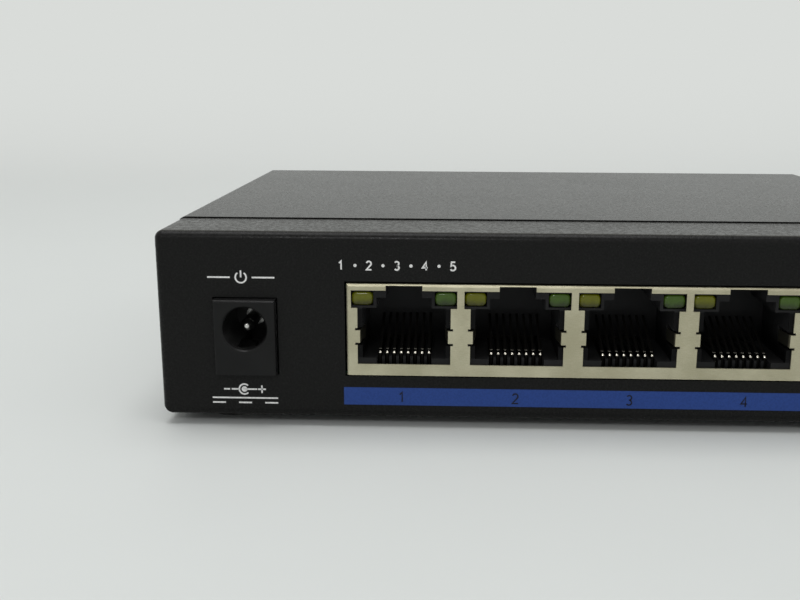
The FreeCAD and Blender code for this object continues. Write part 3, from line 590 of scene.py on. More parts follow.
@dataclass(frozen=True)
class Laminate(Finish):
    """Coated circuit board with faint tracks under the coating."""

    base: Colour = (0.006, 0.075, 0.028)
    track: Colour = (0.016, 0.135, 0.052)
    pitch: float = 1.3 * MM
    track_edge: Span = (0.05, 0.12)
    cloud: float = 3 * MM
    roughness: Span = (0.32, 0.42)
    relief: float = 0.03 * MM

    def shade(self, graph: ShaderGraph) -> Socket:
        """Green coating, lighter and raised over the tracks.

        Args:
            graph: where the nodes go.

        Returns:
            The surface shader.
        """
        settings = {"feature": "DISTANCE_TO_EDGE", "distance": "EUCLIDEAN"}
        inputs = {"Vector": graph.place(), "Scale": 1.0 / self.pitch}
        cells = graph.node("ShaderNodeTexVoronoi", settings, inputs)
        track = 1.0 - cells.ramp(self.track_edge)
        return graph.surface(
            colour=graph.mix(track, self.base, self.track),
            roughness=graph.noise(self.cloud).over(self.roughness),
            normal=graph.bump(track, self.relief),
        )


@dataclass(frozen=True)
class Ink(Finish):
    """Screen-printed ink, thin in places so that the paint's grain shows."""

    colour: Colour = (0.86, 0.86, 0.85)
    thin: Colour = (0.72, 0.72, 0.71)
    roughness: Span = (0.45, 0.59)
    grain: float = 0.28 * MM
    grain_limits: Span = (0.36, 0.6)
    level: float = 0.12
    relief: float = 0.006 * MM

    def shade(self, graph: ShaderGraph) -> Socket:
        """Ink that is uneven at the scale of the paint's grain.

        Args:
            graph: where the nodes go.

        Returns:
            The surface shader.
        """
        grain = graph.noise(self.grain, FINE_DETAIL)
        return graph.surface(
            colour=graph.mix(grain.ramp(self.grain_limits), self.thin, self.colour),
            roughness=grain.over(self.roughness),
            level=self.level,
            normal=graph.bump(grain, self.relief),
        )


@dataclass(frozen=True)
class Paper(Finish):
    """Pale seamless paper of the studio, which glows behind the object and brighter above it."""

    low: Colour = (0.675, 0.700, 0.685)
    high: Colour = (0.695, 0.720, 0.705)
    mottle: float = 30 * MM
    roughness: Span = (0.55, 0.65)
    level: float = 0.25
    backdrop: Colour = (0.695, 0.715, 0.695)
    upper: Colour = (1.0, 1.0, 0.92)
    rise: Span = (0.10, 0.55)
    lift: Span = (0.12, 0.50)
    glow: float = 1.0

    def shade(self, graph: ShaderGraph) -> Socket:
        """Nearly even pale grey on the floor, and a flat light tone on the backdrop.

        Args:
            graph: where the nodes go.

        Returns:
            The surface shader.
        """
        mottle = graph.noise(self.mottle, FINE_DETAIL)
        paper = graph.surface(
            colour=graph.mix(mottle, self.low, self.high),
            roughness=mottle.over(self.roughness),
            level=self.level,
        )
        tone = graph.mix(graph.axis("Z").ramp(self.lift), self.backdrop, self.upper)
        glow = graph.node("ShaderNodeEmission", None, {"Color": tone, "Strength": self.glow})
        behind = graph.axis("Y").ramp(self.rise) * graph.seen()
        return graph.node("ShaderNodeMixShader", None, {0: behind, 1: paper, 2: glow})


CASE_PAINT = PowderCoat("powder_coat")
COVER_PAINT = PowderCoat("cover_coat", blotch=0.3 * MM, roughness=(0.16, 0.34))
SHIELD_PLATE = PlatedSheet("dull_plate")
CONTACT_PLATE = SpringPlate("spring_plate")
STEEL = BareMetal("bright_steel")
BLACK_STEEL = BareMetal("blackened_steel", (0.06, 0.06, 0.062), (0.025, 0.025, 0.026),
                        grain=0.5 * MM, roughness=(0.35, 0.5))
PIN_METAL = BareMetal("pin_metal", (0.66, 0.66, 0.63), (0.48, 0.48, 0.46),
                      grain=0.5 * MM, roughness=(0.10, 0.16))
# Painted shade: the pin's metal made darker on its shank, deeper in the bore, than on its nose
SHADED_PIN_METAL = BareMetal("shaded_pin_metal", (0.28, 0.28, 0.27), (0.18, 0.18, 0.17),
                        grain=0.5 * MM, roughness=(0.14, 0.22))
SLEEVE_METAL = BareMetal("sleeve_metal", (0.10, 0.10, 0.10), (0.05, 0.05, 0.05),
                         grain=0.5 * MM, roughness=(0.25, 0.4))
PORT_MOULD = PortMould("housing_mould", (0.0130, 0.0130, 0.0133), (0.0200, 0.0200, 0.0205))
INLET_MOULD = HollowMould("inlet_mould", (0.0030, 0.0030, 0.0030), (0.0055, 0.0055, 0.0055),
                          grain=0.2 * MM, relief=0.006 * MM, roughness=(0.20, 0.30), level=0.21)
CHIP_MOULD = Mould("package_mould", (0.016, 0.016, 0.017), (0.03, 0.03, 0.032),
                   grain=0.12 * MM, relief=0.006 * MM, roughness=(0.5, 0.6))
FOOT_RUBBER = Mould("foot_skin", (0.014, 0.014, 0.014), (0.03, 0.03, 0.03),
                    grain=0.3 * MM, relief=0.02 * MM, roughness=(0.65, 0.8), level=0.3)
CAN_SLEEVE = Mould("sleeve_film", (0.008, 0.010, 0.030), (0.014, 0.018, 0.045),
                   grain=0.5 * MM, relief=0.004 * MM, roughness=(0.25, 0.35))
CORE = Mould("core_powder", (0.045, 0.045, 0.046), (0.075, 0.075, 0.076),
             grain=0.2 * MM, relief=0.02 * MM, roughness=(0.6, 0.75))
BOARD = Laminate("board_coating")
YELLOW_LENS = TintedLens("yellow_epoxy", Tint.YELLOW)
GREEN_LENS = TintedLens("green_epoxy", Tint.GREEN)
WHITE_INK = Ink("white_ink")
BLUE_INK = Ink("blue_ink", (0.0280, 0.0675, 0.264), (0.0245, 0.0580, 0.232), (0.42, 0.56))
BLACK_INK = Ink("black_ink", (0.010, 0.010, 0.012), (0.016, 0.018, 0.03), (0.50, 0.64))
PAPER = Paper("studio_paper")


def paint(mesh: bpy.types.Mesh, finish: Finish) -> None:
    """Give a mesh one finish all over."""
    mesh.materials.clear()
    mesh.materials.append(finish.material())


def tie(piece: bpy.types.Object, finish: Finish, nodes: Iterable[str] = ()) -> None:
    """Finish a new piece and tie it to the frame.

    Args:
        piece: mesh object whose place is in its mesh.
        finish: its finish.
        nodes: CAD nodes that it stands for.
    """
    paint(piece.data, finish)
    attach(piece, ROOT)
    names = list(nodes)
    if names:
        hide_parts(*names)
    LOG.info("made %s: %d faces", piece.name, len(piece.data.polygons))


def add_object(name: str, data: bpy.types.ID) -> bpy.types.Object:
    """Put a mesh, curve, lamp or camera in the scene.

    Args:
        name: name of the object.
        data: what the object shows.

    Returns:
        The new object, at the origin.
    """
    made = bpy.data.objects.new(name, data)
    bpy.context.scene.collection.objects.link(made)
    return made


def from_bmesh(name: str, shape: Shape) -> bpy.types.Object:
    """Turn a bmesh into an object and free it.

    Args:
        name: name of the object.
        shape: the geometry, in metres of the shared frame.

    Returns:
        The new object.
    """
    bmesh.ops.recalc_face_normals(shape, faces=shape.faces)
    mesh = bpy.data.meshes.new(name)
    shape.to_mesh(mesh)
    shape.free()
    return add_object(name, mesh)


def add_block(shape: Shape, low: Point, high: Point) -> None:
    """Add a box between two corners.

    Args:
        shape: the bmesh to add to.
        low: lowest corner.
        high: highest corner.
    """
    start = Vector(low)
    end = Vector(high)
    place = Matrix.Translation((start + end) / 2) @ Matrix.Diagonal((*(end - start), 1.0))
    bmesh.ops.create_cube(shape, size=1.0, matrix=place)


def add_tube(shape: Shape, rings: Iterable[Iterable[Point]]) -> None:
    """Add a closed tube through rings of points.

    Args:
        shape: the bmesh to add to.
        rings: the rings in order, all with the same number of points.
    """
    loops = [[shape.verts.new(point) for point in ring] for ring in rings]
    for first, second in zip(loops, loops[1:]):
        for here in range(len(first)):
            shape.faces.new((first[here - 1], first[here], second[here], second[here - 1]))
    for end in (loops[0], loops[-1]):
        shape.faces.new(end)


def round_edges(shape: Shape, edges: Sequence[bmesh.types.BMEdge], radius: float,
                steps: int) -> None:
    """Round some edges of a bmesh to a radius, in a number of steps."""
    bmesh.ops.bevel(shape, geom=edges, offset=radius, offset_type="OFFSET", segments=steps,
                    profile=ROUND_PROFILE, affect="EDGES", clamp_overlap=True)


def smooth(shape: Shape) -> None:
    """Shade all faces that a bmesh has so far as one smooth surface."""
    for face in shape.faces:
        face.smooth = True


class ShapeGraph(Graph):
    """Builds a Geometry Nodes tree with named inputs and runs it on an object."""

    def __init__(self, name: str) -> None:
        """Start an empty tree with a geometry input and output.

        Args:
            name: name of the tree.
        """
        super().__init__(bpy.data.node_groups.new(name, "GeometryNodeTree"))
        for side in ("INPUT", "OUTPUT"):
            self.tree.interface.new_socket("Geometry", in_out=side,
                                           socket_type="NodeSocketGeometry")
        self.start = self.make("NodeGroupInput")
        self.values: dict[str, Any] = {}

    def geometry(self) -> Socket:
        """Geometry of the object that the tree runs on."""
        return Socket(self, self.start.outputs["Geometry"])

    def value(self, name: str, kind: str, setting: Any) -> Socket:
        """Declare a named input.

        Args:
            name: label of the input.
            kind: Float, Int, Vector or Material.
            setting: the value that the modifier gets.

        Returns:
            The socket to link from.
        """
        item = self.tree.interface.new_socket(name, in_out="INPUT",
                                              socket_type=f"NodeSocket{kind}")
        self.values[item.identifier] = setting
        return Socket(self, self.start.outputs[name])

    def vector(self, **parts: Operand) -> Socket:
        """Vector from its parts by their letters, with 0 for the rest."""
        return self.node("ShaderNodeCombineXYZ", None, parts)

    def moved(self, shape: Socket, **changes: Any) -> Socket:
        """Geometry after a Translation, Rotation or Scale."""
        return self.node("GeometryNodeTransform", None, {"Geometry": shape, **changes})

    def copies(self, shape: Socket, points: Socket, **changes: Any) -> Socket:
        """A copy of a shape at each point."""
        inputs = {"Points": points, "Instance": shape, **changes}
        return self.node("GeometryNodeInstanceOnPoints", None, inputs)

    def close(self, result: Socket, finish: Finish) -> None:
        """End the tree in Realize Instances and Set Material.

        Args:
            result: the geometry of the whole piece.
            finish: its finish.
        """
        real = self.node("GeometryNodeRealizeInstances", None, {0: result})
        coat = self.value("Finish", "Material", finish.material())
        done = self.node("GeometryNodeSetMaterial", None, {"Geometry": real, "Material": coat})
        self.make("NodeGroupOutput", None, {0: done})

    def run(self, name: str, carrier: bpy.types.Object) -> bpy.types.Object:
        """Run the tree on a carrier object and keep its result as a plain mesh.

        Args:
            name: name of the new object.
            carrier: object whose geometry goes in; it is removed.

        Returns:
            The new object.
        """
        modifier = carrier.modifiers.new("nodes", "NODES")
        modifier.node_group = self.tree
        for identifier, setting in self.values.items():
            modifier[identifier] = setting
        graph = bpy.context.evaluated_depsgraph_get()
        mesh = bpy.data.meshes.new_from_object(carrier.evaluated_get(graph), depsgraph=graph)
        carrier.modifiers.remove(modifier)
        bpy.data.objects.remove(carrier)
        mesh.name = name
        return add_object(name, mesh)


@dataclass
class Assembly:
    frame: Frame

    def dress(self, node: str, finish: Finish) -> None:
        """Give a CAD node its finish."""
        paint(self.frame["nodes"][node].data, finish)
        LOG.info("dressed %s with %s", node, finish.name)


@dataclass
class SheetCase(Assembly):
    """The folded case: tray and cover in powder coat, feet in rubber."""

    def build(self) -> None:
        """Dress the case nodes."""
        self.dress("chassis_tray", CASE_PAINT)
        self.dress("top_cover", COVER_PAINT)
        self.dress("rubber_feet", FOOT_RUBBER)

    def front(self) -> float:
        """Where the outer face of the front wall lies along y."""
        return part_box("chassis_tray")[0].y


@dataclass
class PortBlock(Assembly):
    """The row of ports: plated shield, black housing, spring contacts and indicator lenses."""

    contact_count: int = 8
    contact_pitch: float = 1.016 * MM
    contact_width: float = 0.42 * MM
    contact_thickness: float = 0.24 * MM
    contact_bend: float = 0.55 * MM
    bend_steps: int = 10
    wire_sides: int = 14
    contact_crest: float = 2.95 * MM
    run_height: float = 1.14 * MM
    arm_run: float = 8.5 * MM
    lens_height: float = 2.03 * MM
    lens_length: float = 7.0 * MM
    lens_corner: float = 0.75 * MM
    corner_steps: int = 5
    lens_edge: float = 0.45 * MM
    edge_steps: int = 4
    face_depth: float = 0.01 * MM
    lead_side: float = 0.5 * MM
    lead_inset: float = 0.55 * MM

    def build(self) -> None:
        """Dress the shield and housing, then make the contacts and lenses."""
        self.dress("port_shield", SHIELD_PLATE)
        self.dress("port_housing", PORT_MOULD)
        for port in PORTS:
            self.contacts(f"port_{port}_contacts")
            self.lens(f"port_{port}_left_led", YELLOW_LENS, "yellow_lens")
            self.lens(f"port_{port}_right_led", GREEN_LENS, "green_lens")

    def contact_path(self, low: Vector, high: Vector) -> bpy.types.Object:
        """Centre line of a port's first contact.

        Args:
            low: lowest corner of the port's contacts.
            high: highest corner of the port's contacts.

        Returns:
            A curve object through the bends of the contact.
        """
        half = self.contact_thickness / 2
        across = low.x + self.contact_width / 2
        drop = high.y - half
        front = low.y + half
        run = low.z + self.run_height
        route = [(drop, low.z), (drop, run), (front, run), (front, low.z + self.contact_crest),
                 (front + self.arm_run, high.z - half)]
        curve = bpy.data.curves.new("contact_path", "CURVE")
        curve.dimensions = "3D"
        line = curve.splines.new("POLY")
        line.points.add(len(route) - 1)
        for point, (along, up) in zip(line.points, route):
            point.co = (across, along, up, 1.0)
        return add_object("contact_path", curve)

    def contacts(self, node: str) -> None:
        """Make the spring contacts of one port.

        Args:
            node: CAD node that they stand for.
        """
        tree = ShapeGraph(f"{node}_tree")
        count = tree.value("Count", "Int", self.contact_count)
        pitch = tree.value("Pitch", "Float", self.contact_pitch)
        width = tree.value("Width", "Float", self.contact_width)
        thickness = tree.value("Thickness", "Float", self.contact_thickness)
        bend = tree.value("Bend", "Float", self.contact_bend)
        bent = tree.node("GeometryNodeFilletCurve", {"mode": "POLY"}, {
            "Curve": tree.geometry(), "Count": self.bend_steps, "Radius": bend,
            "Limit Radius": True})
        # A circle one unit wide, drawn out to the wire's oval section
        ring = tree.node("GeometryNodeCurvePrimitiveCircle", None, {
            "Resolution": self.wire_sides, "Radius": 0.5})
        oval = tree.moved(ring, Scale=tree.vector(X=width, Y=thickness, Z=1.0))
        wire = tree.node("GeometryNodeCurveToMesh", None, {
            "Curve": bent, "Profile Curve": oval, "Fill Caps": True})
        row = tree.node("GeometryNodeMeshLine", None, {
            "Count": count, "Offset": tree.vector(X=pitch)})
        tree.close(tree.copies(wire, row), CONTACT_PLATE)
        springs = tree.run(f"{node}_springs", self.contact_path(*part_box(node)))
        tie(springs, CONTACT_PLATE, [node])

    def lens(self, node: str, finish: Finish, slot: str) -> None:
        """Make one indicator: a rounded lens and its two bent leads.

        Args:
            node: CAD node that it stands for.
            finish: tinted finish of the lens.
            slot: material slot of the record; not used.
        """
        low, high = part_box(node)
        back = low.y + self.lens_length
        shape = bmesh.new()
        add_block(shape, (low.x, low.y, high.z - self.lens_height), (high.x, back, high.z))
        along = [edge for edge in shape.edges
                 if abs(edge.verts[0].co.y - edge.verts[1].co.y) > self.lens_corner]
        round_edges(shape, along, self.lens_corner, self.corner_steps)
        rim = [edge for edge in shape.edges
               if all(vert.co.y < low.y + self.face_depth for vert in edge.verts)]
        round_edges(shape, rim, self.lens_edge, self.edge_steps)
        smooth(shape)
        top = high.z - self.lens_height / 2 + self.lead_side
        for left in (low.x + self.lead_inset, high.x - self.lead_inset - self.lead_side):
            self.lead(shape, Vector((left, back, low.z)),
                      Vector((left + self.lead_side, high.y, top)))
        tie(from_bmesh(f"{node}_lens", shape), finish, [node])

    def lead(self, shape: Shape, low: Vector, high: Vector) -> None:
        """Add a square lead that runs back along the top of a box and down its rear.

        Args:
            shape: the bmesh to add to.
            low: lowest corner of the box.
            high: highest corner of the box.
        """
        under = high.z - self.lead_side
        inner = high.y - self.lead_side
        outline = [(low.y, under), (inner, under), (inner, low.z),
                   (high.y, low.z), (high.y, high.z), (low.y, high.z)]
        sides = (low.x, high.x)
        add_tube(shape, [[(across, along, up) for along, up in outline] for across in sides])


@dataclass
class PowerInlet(Assembly):
    """The round power inlet: moulded body, turned pin with a crowned nose and sleeve spring."""

    axis_height: float = 6.84 * MM
    nose_radius: float = 1.01 * MM
    nose_length: float = 0.80 * MM
    nose_ahead: float = 0.10 * MM
    tip_radius: float = 0.36 * MM
    tip_turn: float = math.radians(60.0)
    collar: float = 0.15 * MM
    sides: int = 32
    steps: int = 8

    def build(self) -> None:
        """Dress the three pieces of the inlet and crown the pin."""
        self.dress("jack_housing", INLET_MOULD)
        # The pin's shank takes a darker copy of the nose's metal: painted shade
        self.dress("jack_pin", SHADED_PIN_METAL)
        self.dress("jack_spring", SLEEVE_METAL)
        self.nose()

    def nose(self) -> None:
        """Turn the nose that covers the pin's tapered end: a crowned tip on a cone."""
        low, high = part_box("jack_housing")
        middle = (low.x + high.x) / 2
        level = low.z + self.axis_height
        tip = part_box("jack_pin")[0].y - self.nose_ahead
        wide = self.tip_radius / math.sin(self.tip_turn)
        crown = self.nose_ahead / (1 - math.cos(self.tip_turn))
        turns = [self.tip_turn * step / self.steps for step in range(1, self.steps + 1)]
        profile = [(wide * math.sin(turn), tip + crown * (1 - math.cos(turn))) for turn in turns]
        profile += [(self.nose_radius, tip + self.nose_length + back)
                    for back in (0.0, self.collar)]
        around = [math.tau * side / self.sides for side in range(self.sides)]
        shape = bmesh.new()
        add_tube(shape, [[(middle + radius * math.cos(angle), along,
                           level + radius * math.sin(angle)) for angle in around]
                         for radius, along in profile])
        smooth(shape)
        tie(from_bmesh("pin_nose", shape), PIN_METAL)


@dataclass
class Fasteners(Assembly):
    """Cover and board screws with domed heads and cross recesses."""

    head_radius: float = 2.8 * MM
    head_height: float = 1.6 * MM
    shank_radius: float = 1.45 * MM
    shank_length: float = 5.0 * MM
    recess_length: float = 3.0 * MM
    recess_width: float = 0.62 * MM
    recess_depth: float = 0.8 * MM
    recess_step: float = 0.95
    cutter: float = 20 * MM
    sides: int = 40
    rings: int = 20

    def build(self) -> None:
        """Make the screws and dress the standoffs."""
        self.screws("cover_screws", self.side_seats(), BLACK_STEEL, "black_screw")
        self.screws("board_screws", self.board_seats(), STEEL, "steel")
        self.dress("board_standoffs", STEEL)

    def side_seats(self) -> list[Seat]:
        """Places of the cover screws.

        Returns:
            Pairs of a point under the head and the direction that the head faces.
        """
        low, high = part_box("cover_screws")
        _, along, up = (low + high) / 2
        return [(Vector((low.x + self.head_height, along, up)), Vector((-1, 0, 0))),
                (Vector((high.x - self.head_height, along, up)), Vector((1, 0, 0)))]

    def board_seats(self) -> list[Seat]:
        """Places of the board screws.

        Returns:
            Pairs of a point under the head and the direction that the head faces.
        """
        low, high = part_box("board_screws")
        inset = self.head_radius
        return [(Vector((across, along, high.z - self.head_height)), Vector((0, 0, 1)))
                for across in (low.x + inset, high.x - inset)
                for along in (low.y + inset, high.y - inset)]

    def carrier(self, name: str, seats: Sequence[Seat]) -> bpy.types.Object:
        """Loose points at the seats, each with the turn of its screw.

        Args:
            name: name of the object.
            seats: where the heads rest and which way they face.

        Returns:
            A mesh object of points with a turn attribute.
        """
        mesh = bpy.data.meshes.new(name)
        mesh.from_pydata([spot for spot, _ in seats], [], [])
        turns = mesh.attributes.new("turn", "FLOAT_VECTOR", "POINT")
        for item, (_, facing) in zip(turns.data, seats):
            item.vector = facing.to_track_quat("Z", "Y").to_euler()
        return add_object(name, mesh)

    def head(self, tree: ShapeGraph) -> Socket:
        """Domed head on the origin: half of a flattened ball, less a cross of two bars.

        Args:
            tree: where the nodes go.

        Returns:
            The head's geometry.
        """
        radius = tree.value("Head radius", "Float", self.head_radius)
        height = tree.value("Head height", "Float", self.head_height)
        recess = tree.value("Recess", "Vector", (
            self.recess_length, self.recess_width, 2 * self.recess_depth))
        ball = tree.node("GeometryNodeMeshUVSphere", None, {
            "Segments": self.sides, "Rings": self.rings, "Radius": radius})
        head = tree.moved(ball, Scale=tree.vector(X=1.0, Y=1.0, Z=height / radius))
        block = tree.node("GeometryNodeMeshCube", None, {"Size": (self.cutter,) * 3})
        bar = tree.node("GeometryNodeMeshCube", None, {"Size": recess})
        lift = tree.vector(Z=height)
        cutters = (
            tree.moved(block, Translation=(0.0, 0.0, -self.cutter / 2)),
            tree.moved(bar, Translation=lift),
            tree.moved(bar, Translation=lift, Rotation=(0.0, 0.0, math.pi / 2),
                       Scale=(1.0, 1.0, self.recess_step)),
        )
        for cutter in cutters:
            head = tree.node("GeometryNodeMeshBoolean", {"operation": "DIFFERENCE"}, {
                "Mesh 1": head, "Mesh 2": cutter})
        return head

    def shank(self, tree: ShapeGraph) -> Socket:
        """Plain shank below the origin.

        Args:
            tree: where the nodes go.

        Returns:
            The shank's geometry.
        """
        radius = tree.value("Shank radius", "Float", self.shank_radius)
        length = tree.value("Shank length", "Float", self.shank_length)
        rod = tree.node("GeometryNodeMeshCylinder", None, {
            "Vertices": self.sides, "Radius": radius, "Depth": length})
        return tree.moved(rod, Translation=tree.vector(Z=length / -2.0))

    def screws(self, node: str, seats: Sequence[Seat], finish: Finish, slot: str) -> None:
        """Make all screws of one node.

        Args:
            node: CAD node that they stand for.
            seats: where the heads rest and which way they face.
            finish: their finish.
            slot: material slot of the record; not used.
        """
        tree = ShapeGraph(f"{node}_tree")
        screw = tree.node("GeometryNodeJoinGeometry", None, {
            "Geometry": [self.head(tree), self.shank(tree)]})
        turn = tree.node("GeometryNodeInputNamedAttribute", {"data_type": "FLOAT_VECTOR"}, {
            "Name": "turn"})
        points = tree.node("GeometryNodeMeshToPoints", None, {"Mesh": tree.geometry()})
        tree.close(tree.copies(screw, points, Rotation=turn), finish)
        made = tree.run(f"{node}_set", self.carrier(f"{node}_seats", seats))
        tie(made, finish, [node])


@dataclass
class BoardAssembly(Assembly):
    """The main board and the parts on it."""

    def build(self) -> None:
        """Dress every board node."""
        self.dress("main_board", BOARD)
        for node in ("switch_chip", "port_power_chip", "converter_chip"):
            self.dress(node, CHIP_MOULD)
        for port in PORTS:
            self.dress(f"port_{port}_transformer", CHIP_MOULD)
        for node in ("bulk_capacitor_1", "bulk_capacitor_2"):
            self.dress(node, CAN_SLEEVE)
        self.dress("power_inductor", CORE)
        self.dress("crystal", STEEL)


def bow(centre: Spot, radius: float, start: float, end: float, steps: int = 12) -> list[Spot]:
    """Points along an arc.

    Args:
        centre: middle of the arc.
        radius: its radius.
        start: first angle in degrees, from the right and counted up.
        end: last angle in degrees.
        steps: number of straight pieces.

    Returns:
        The points in order.
    """
    angles = [math.radians(start + (end - start) * step / steps) for step in range(steps + 1)]
    return [(centre[0] + radius * math.cos(angle), centre[1] + radius * math.sin(angle))
            for angle in angles]


# Strokes of the plain numbers, one unit tall and standing on zero
STROKES: dict[int, list[list[Spot]]] = {
    1: [[(0.06, 0.76), (0.30, 1.0), (0.30, 0.0)]],
    2: [bow((0.28, 0.73), 0.27, 165, -32) + [(0.0, 0.0), (0.58, 0.0)]],
    3: [bow((0.27, 0.76), 0.24, 150, -90), bow((0.27, 0.26), 0.26, 90, -150)],
    4: [[(0.43, 0.0), (0.43, 1.0), (0.0, 0.30), (0.60, 0.30)]],
    5: [[(0.54, 1.0), (0.11, 1.0)] + bow((0.27, 0.31), 0.31, 131, -150)],
}
STROKE_MIDDLE: Spot = (0.29, 0.5)


@dataclass
class FrontPrint:
    """Printed marks on the front wall: a stripe, plain numbers and simple signs."""

    front: float
    film: float = 0.02 * MM
    mitre_limit: float = 0.5
    stripe_bottom: float = 3.51 * MM
    stripe_top: float = 6.15 * MM
    stripe_margin: float = 0.5 * MM
    number_level: float = 4.75 * MM
    number_height: float = 1.45 * MM
    number_line: float = 0.2 * MM
    number_spread: float = 0.3 * MM
    centred_port: int = 2
    number_layers: int = 2
    white_line: float = 0.23 * MM
    label_level: float = 24.15 * MM
    label_height: float = 1.2 * MM
    label_span: Span = (-32.9 * MM, -17.1 * MM)
    inlet_span: Span = (-52.0 * MM, -42.4 * MM)
    power_level: float = 22.25 * MM
    power_ring: float = 0.78 * MM
    power_arc: Span = (125.0, 415.0)
    power_bar: float = 1.014 * MM
    power_gap: float = 1.56 * MM
    current_level: float = 3.95 * MM
    current_gap: float = 0.72 * MM
    current_dashes: int = 3
    sign_centre: Spot = (-47.28 * MM, 5.64 * MM)
    sign_ring: float = 0.76 * MM
    sign_arc: Span = (45.0, 315.0)
    sign_dot: float = 0.42 * MM
    sign_reach: float = 2.56 * MM
    sign_plus: float = 0.58 * MM
    sign_minus: float = 0.44 * MM
    sign_gap: float = 0.7 * MM
    ring_steps: int = 24
    dot_sides: int = 24

    def build(self) -> None:
        """Print everything."""
        self.stripe()
        self.port_numbers()
        self.port_label()
        self.power_sign()
        self.current_sign()
        self.polarity_sign()

    def stamp(self, name: str, shape: Shape, ink: Ink) -> None:
        """Make a piece of a printed mark."""
        tie(from_bmesh(name, shape), ink)

    def stripe(self) -> None:
        """The blue field under the ports."""
        low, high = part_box("port_shield")
        shape = bmesh.new()
        add_block(shape, (low.x - self.stripe_margin, self.front - self.film, self.stripe_bottom),
                  (high.x + self.stripe_margin, self.front, self.stripe_top))
        self.stamp("port_stripe", shape, BLUE_INK)

    def port_numbers(self) -> None:
        """A plain number on the stripe under each port."""
        shape = bmesh.new()
        for port in PORTS:
            low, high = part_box(f"port_{port}_contacts")
            across = (low.x + high.x) / 2 + (port - self.centred_port) * self.number_spread
            self.number(shape, port, (across, self.number_level), self.number_height,
                        self.number_line, self.number_layers)
        self.stamp("port_numbers", shape, BLACK_INK)

    def port_label(self) -> None:
        """A row of the port numbers with dots between them, above the first port."""
        shape = bmesh.new()
        left, right = self.label_span
        level = self.label_level
        step = (right - left) / (len(PORTS) - 1)
        for place, port in enumerate(PORTS):
            across = left + place * step
            self.number(shape, port, (across, level), self.label_height, self.white_line)
            if place:
                self.disc(shape, (across - step / 2, level), self.white_line)
        self.stamp("port_label", shape, WHITE_INK)

    def power_sign(self) -> None:
        """The usual open ring with a bar, between two rules above the inlet."""
        shape = bmesh.new()
        left, right = self.inlet_span
        across = (left + right) / 2
        level = self.power_level
        self.ring(shape, (across, level), self.power_ring, self.power_arc)
        self.bar(shape, across, level, level + self.power_bar)
        self.rule(shape, level, left, across - self.power_gap)
        self.rule(shape, level, across + self.power_gap, right)
        self.stamp("power_sign", shape, WHITE_INK)

    def current_sign(self) -> None:
        """The usual sign of direct current below the inlet: a rule over a row of dashes."""
        shape = bmesh.new()
        left, right = self.inlet_span
        self.rule(shape, self.current_level + self.current_gap / 2, left, right)
        dash = (right - left) / (2 * self.current_dashes - 1)
        for place in range(self.current_dashes):
            start = left + 2 * place * dash
            self.rule(shape, self.current_level - self.current_gap / 2, start, start + dash)
        self.stamp("current_sign", shape, WHITE_INK)

    def polarity_sign(self) -> None:
        """The usual sign of an inlet whose centre is positive."""
        shape = bmesh.new()
        across, level = self.sign_centre
        minus = across - self.sign_reach
        plus = across + self.sign_reach
        self.disc(shape, self.sign_centre, self.sign_dot)
        self.ring(shape, self.sign_centre, self.sign_ring, self.sign_arc)
        self.rule(shape, level, minus + self.sign_gap, across - self.sign_ring)
        self.rule(shape, level, across, plus - self.sign_gap)
        self.rule(shape, level, minus - self.sign_minus, minus + self.sign_minus)
        self.rule(shape, level, plus - self.sign_plus, plus + self.sign_plus)
        self.bar(shape, plus, level - self.sign_plus, level + self.sign_plus)
        self.stamp("polarity_sign", shape, WHITE_INK)

    def rule(self, shape: Shape, level: float, start: float, end: float) -> None:
        """Add a level white line."""
        self.ribbon(shape, [(start, level), (end, level)], self.white_line)

    def bar(self, shape: Shape, across: float, bottom: float, top: float) -> None:
        """Add an upright white line."""
        self.ribbon(shape, [(across, bottom), (across, top)], self.white_line)

    def ring(self, shape: Shape, centre: Spot, radius: float, arc: Span) -> None:
        """Add an open white ring between two angles in degrees."""
        self.ribbon(shape, bow(centre, radius, *arc, self.ring_steps), self.white_line)

    def number(self, shape: Shape, number: int, spot: Spot, height: float,
               width: float, layers: int = 1) -> None:
        """Add a plain number, centred on a spot.

        Args:
            shape: the bmesh to add to.
            number: which number.
            spot: centre along x and z.
            height: height of the number.
            width: width of its strokes.
            layers: ink films from the wall to its face.
        """
        middle, half = STROKE_MIDDLE
        for stroke in STROKES[number]:
            line = [(spot[0] + (along - middle) * height, spot[1] + (up - half) * height)
                    for along, up in stroke]
            self.ribbon(shape, line, width, layers)

    def disc(self, shape: Shape, spot: Spot, radius: float) -> None:
        """Add a round dot of ink.

        Args:
            shape: the bmesh to add to.
            spot: centre along x and z.
            radius: its radius.
        """
        place = Matrix.Translation((spot[0], self.front - self.film / 2, spot[1]))
        upright = Matrix.Rotation(math.pi / 2, 4, "X")
        bmesh.ops.create_cone(shape, cap_ends=True, segments=self.dot_sides, radius1=radius,
                              radius2=radius, depth=self.film, matrix=place @ upright)

    def ribbon(self, shape: Shape, line: Sequence[Spot], width: float,
               layers: int = 1) -> None:
        """Add a stroke of ink along a line, with mitred corners.

        Args:
            shape: the bmesh to add to.
            line: points along x and z.
            width: width of the stroke.
            layers: ink films from the wall to its face.
        """
        spots = [Vector(spot) for spot in line]
        runs = [(after - before).normalized() for before, after in zip(spots, spots[1:])]
        near = self.front - self.film * layers
        far = near + self.film
        rims: list[list[Point]] = []
        for spot, arriving, leaving in zip(spots, runs[:1] + runs, runs + runs[-1:]):
            along = (arriving + leaving).normalized()
            reach = width / 2 / max(along.dot(leaving), self.mitre_limit)
            side = Vector((-along.y, along.x)) * reach
            lower = spot - side
            upper = spot + side
            rims.append([(lower.x, far, lower.y), (lower.x, near, lower.y),
                         (upper.x, near, upper.y), (upper.x, far, upper.y)])
        add_tube(shape, rims)


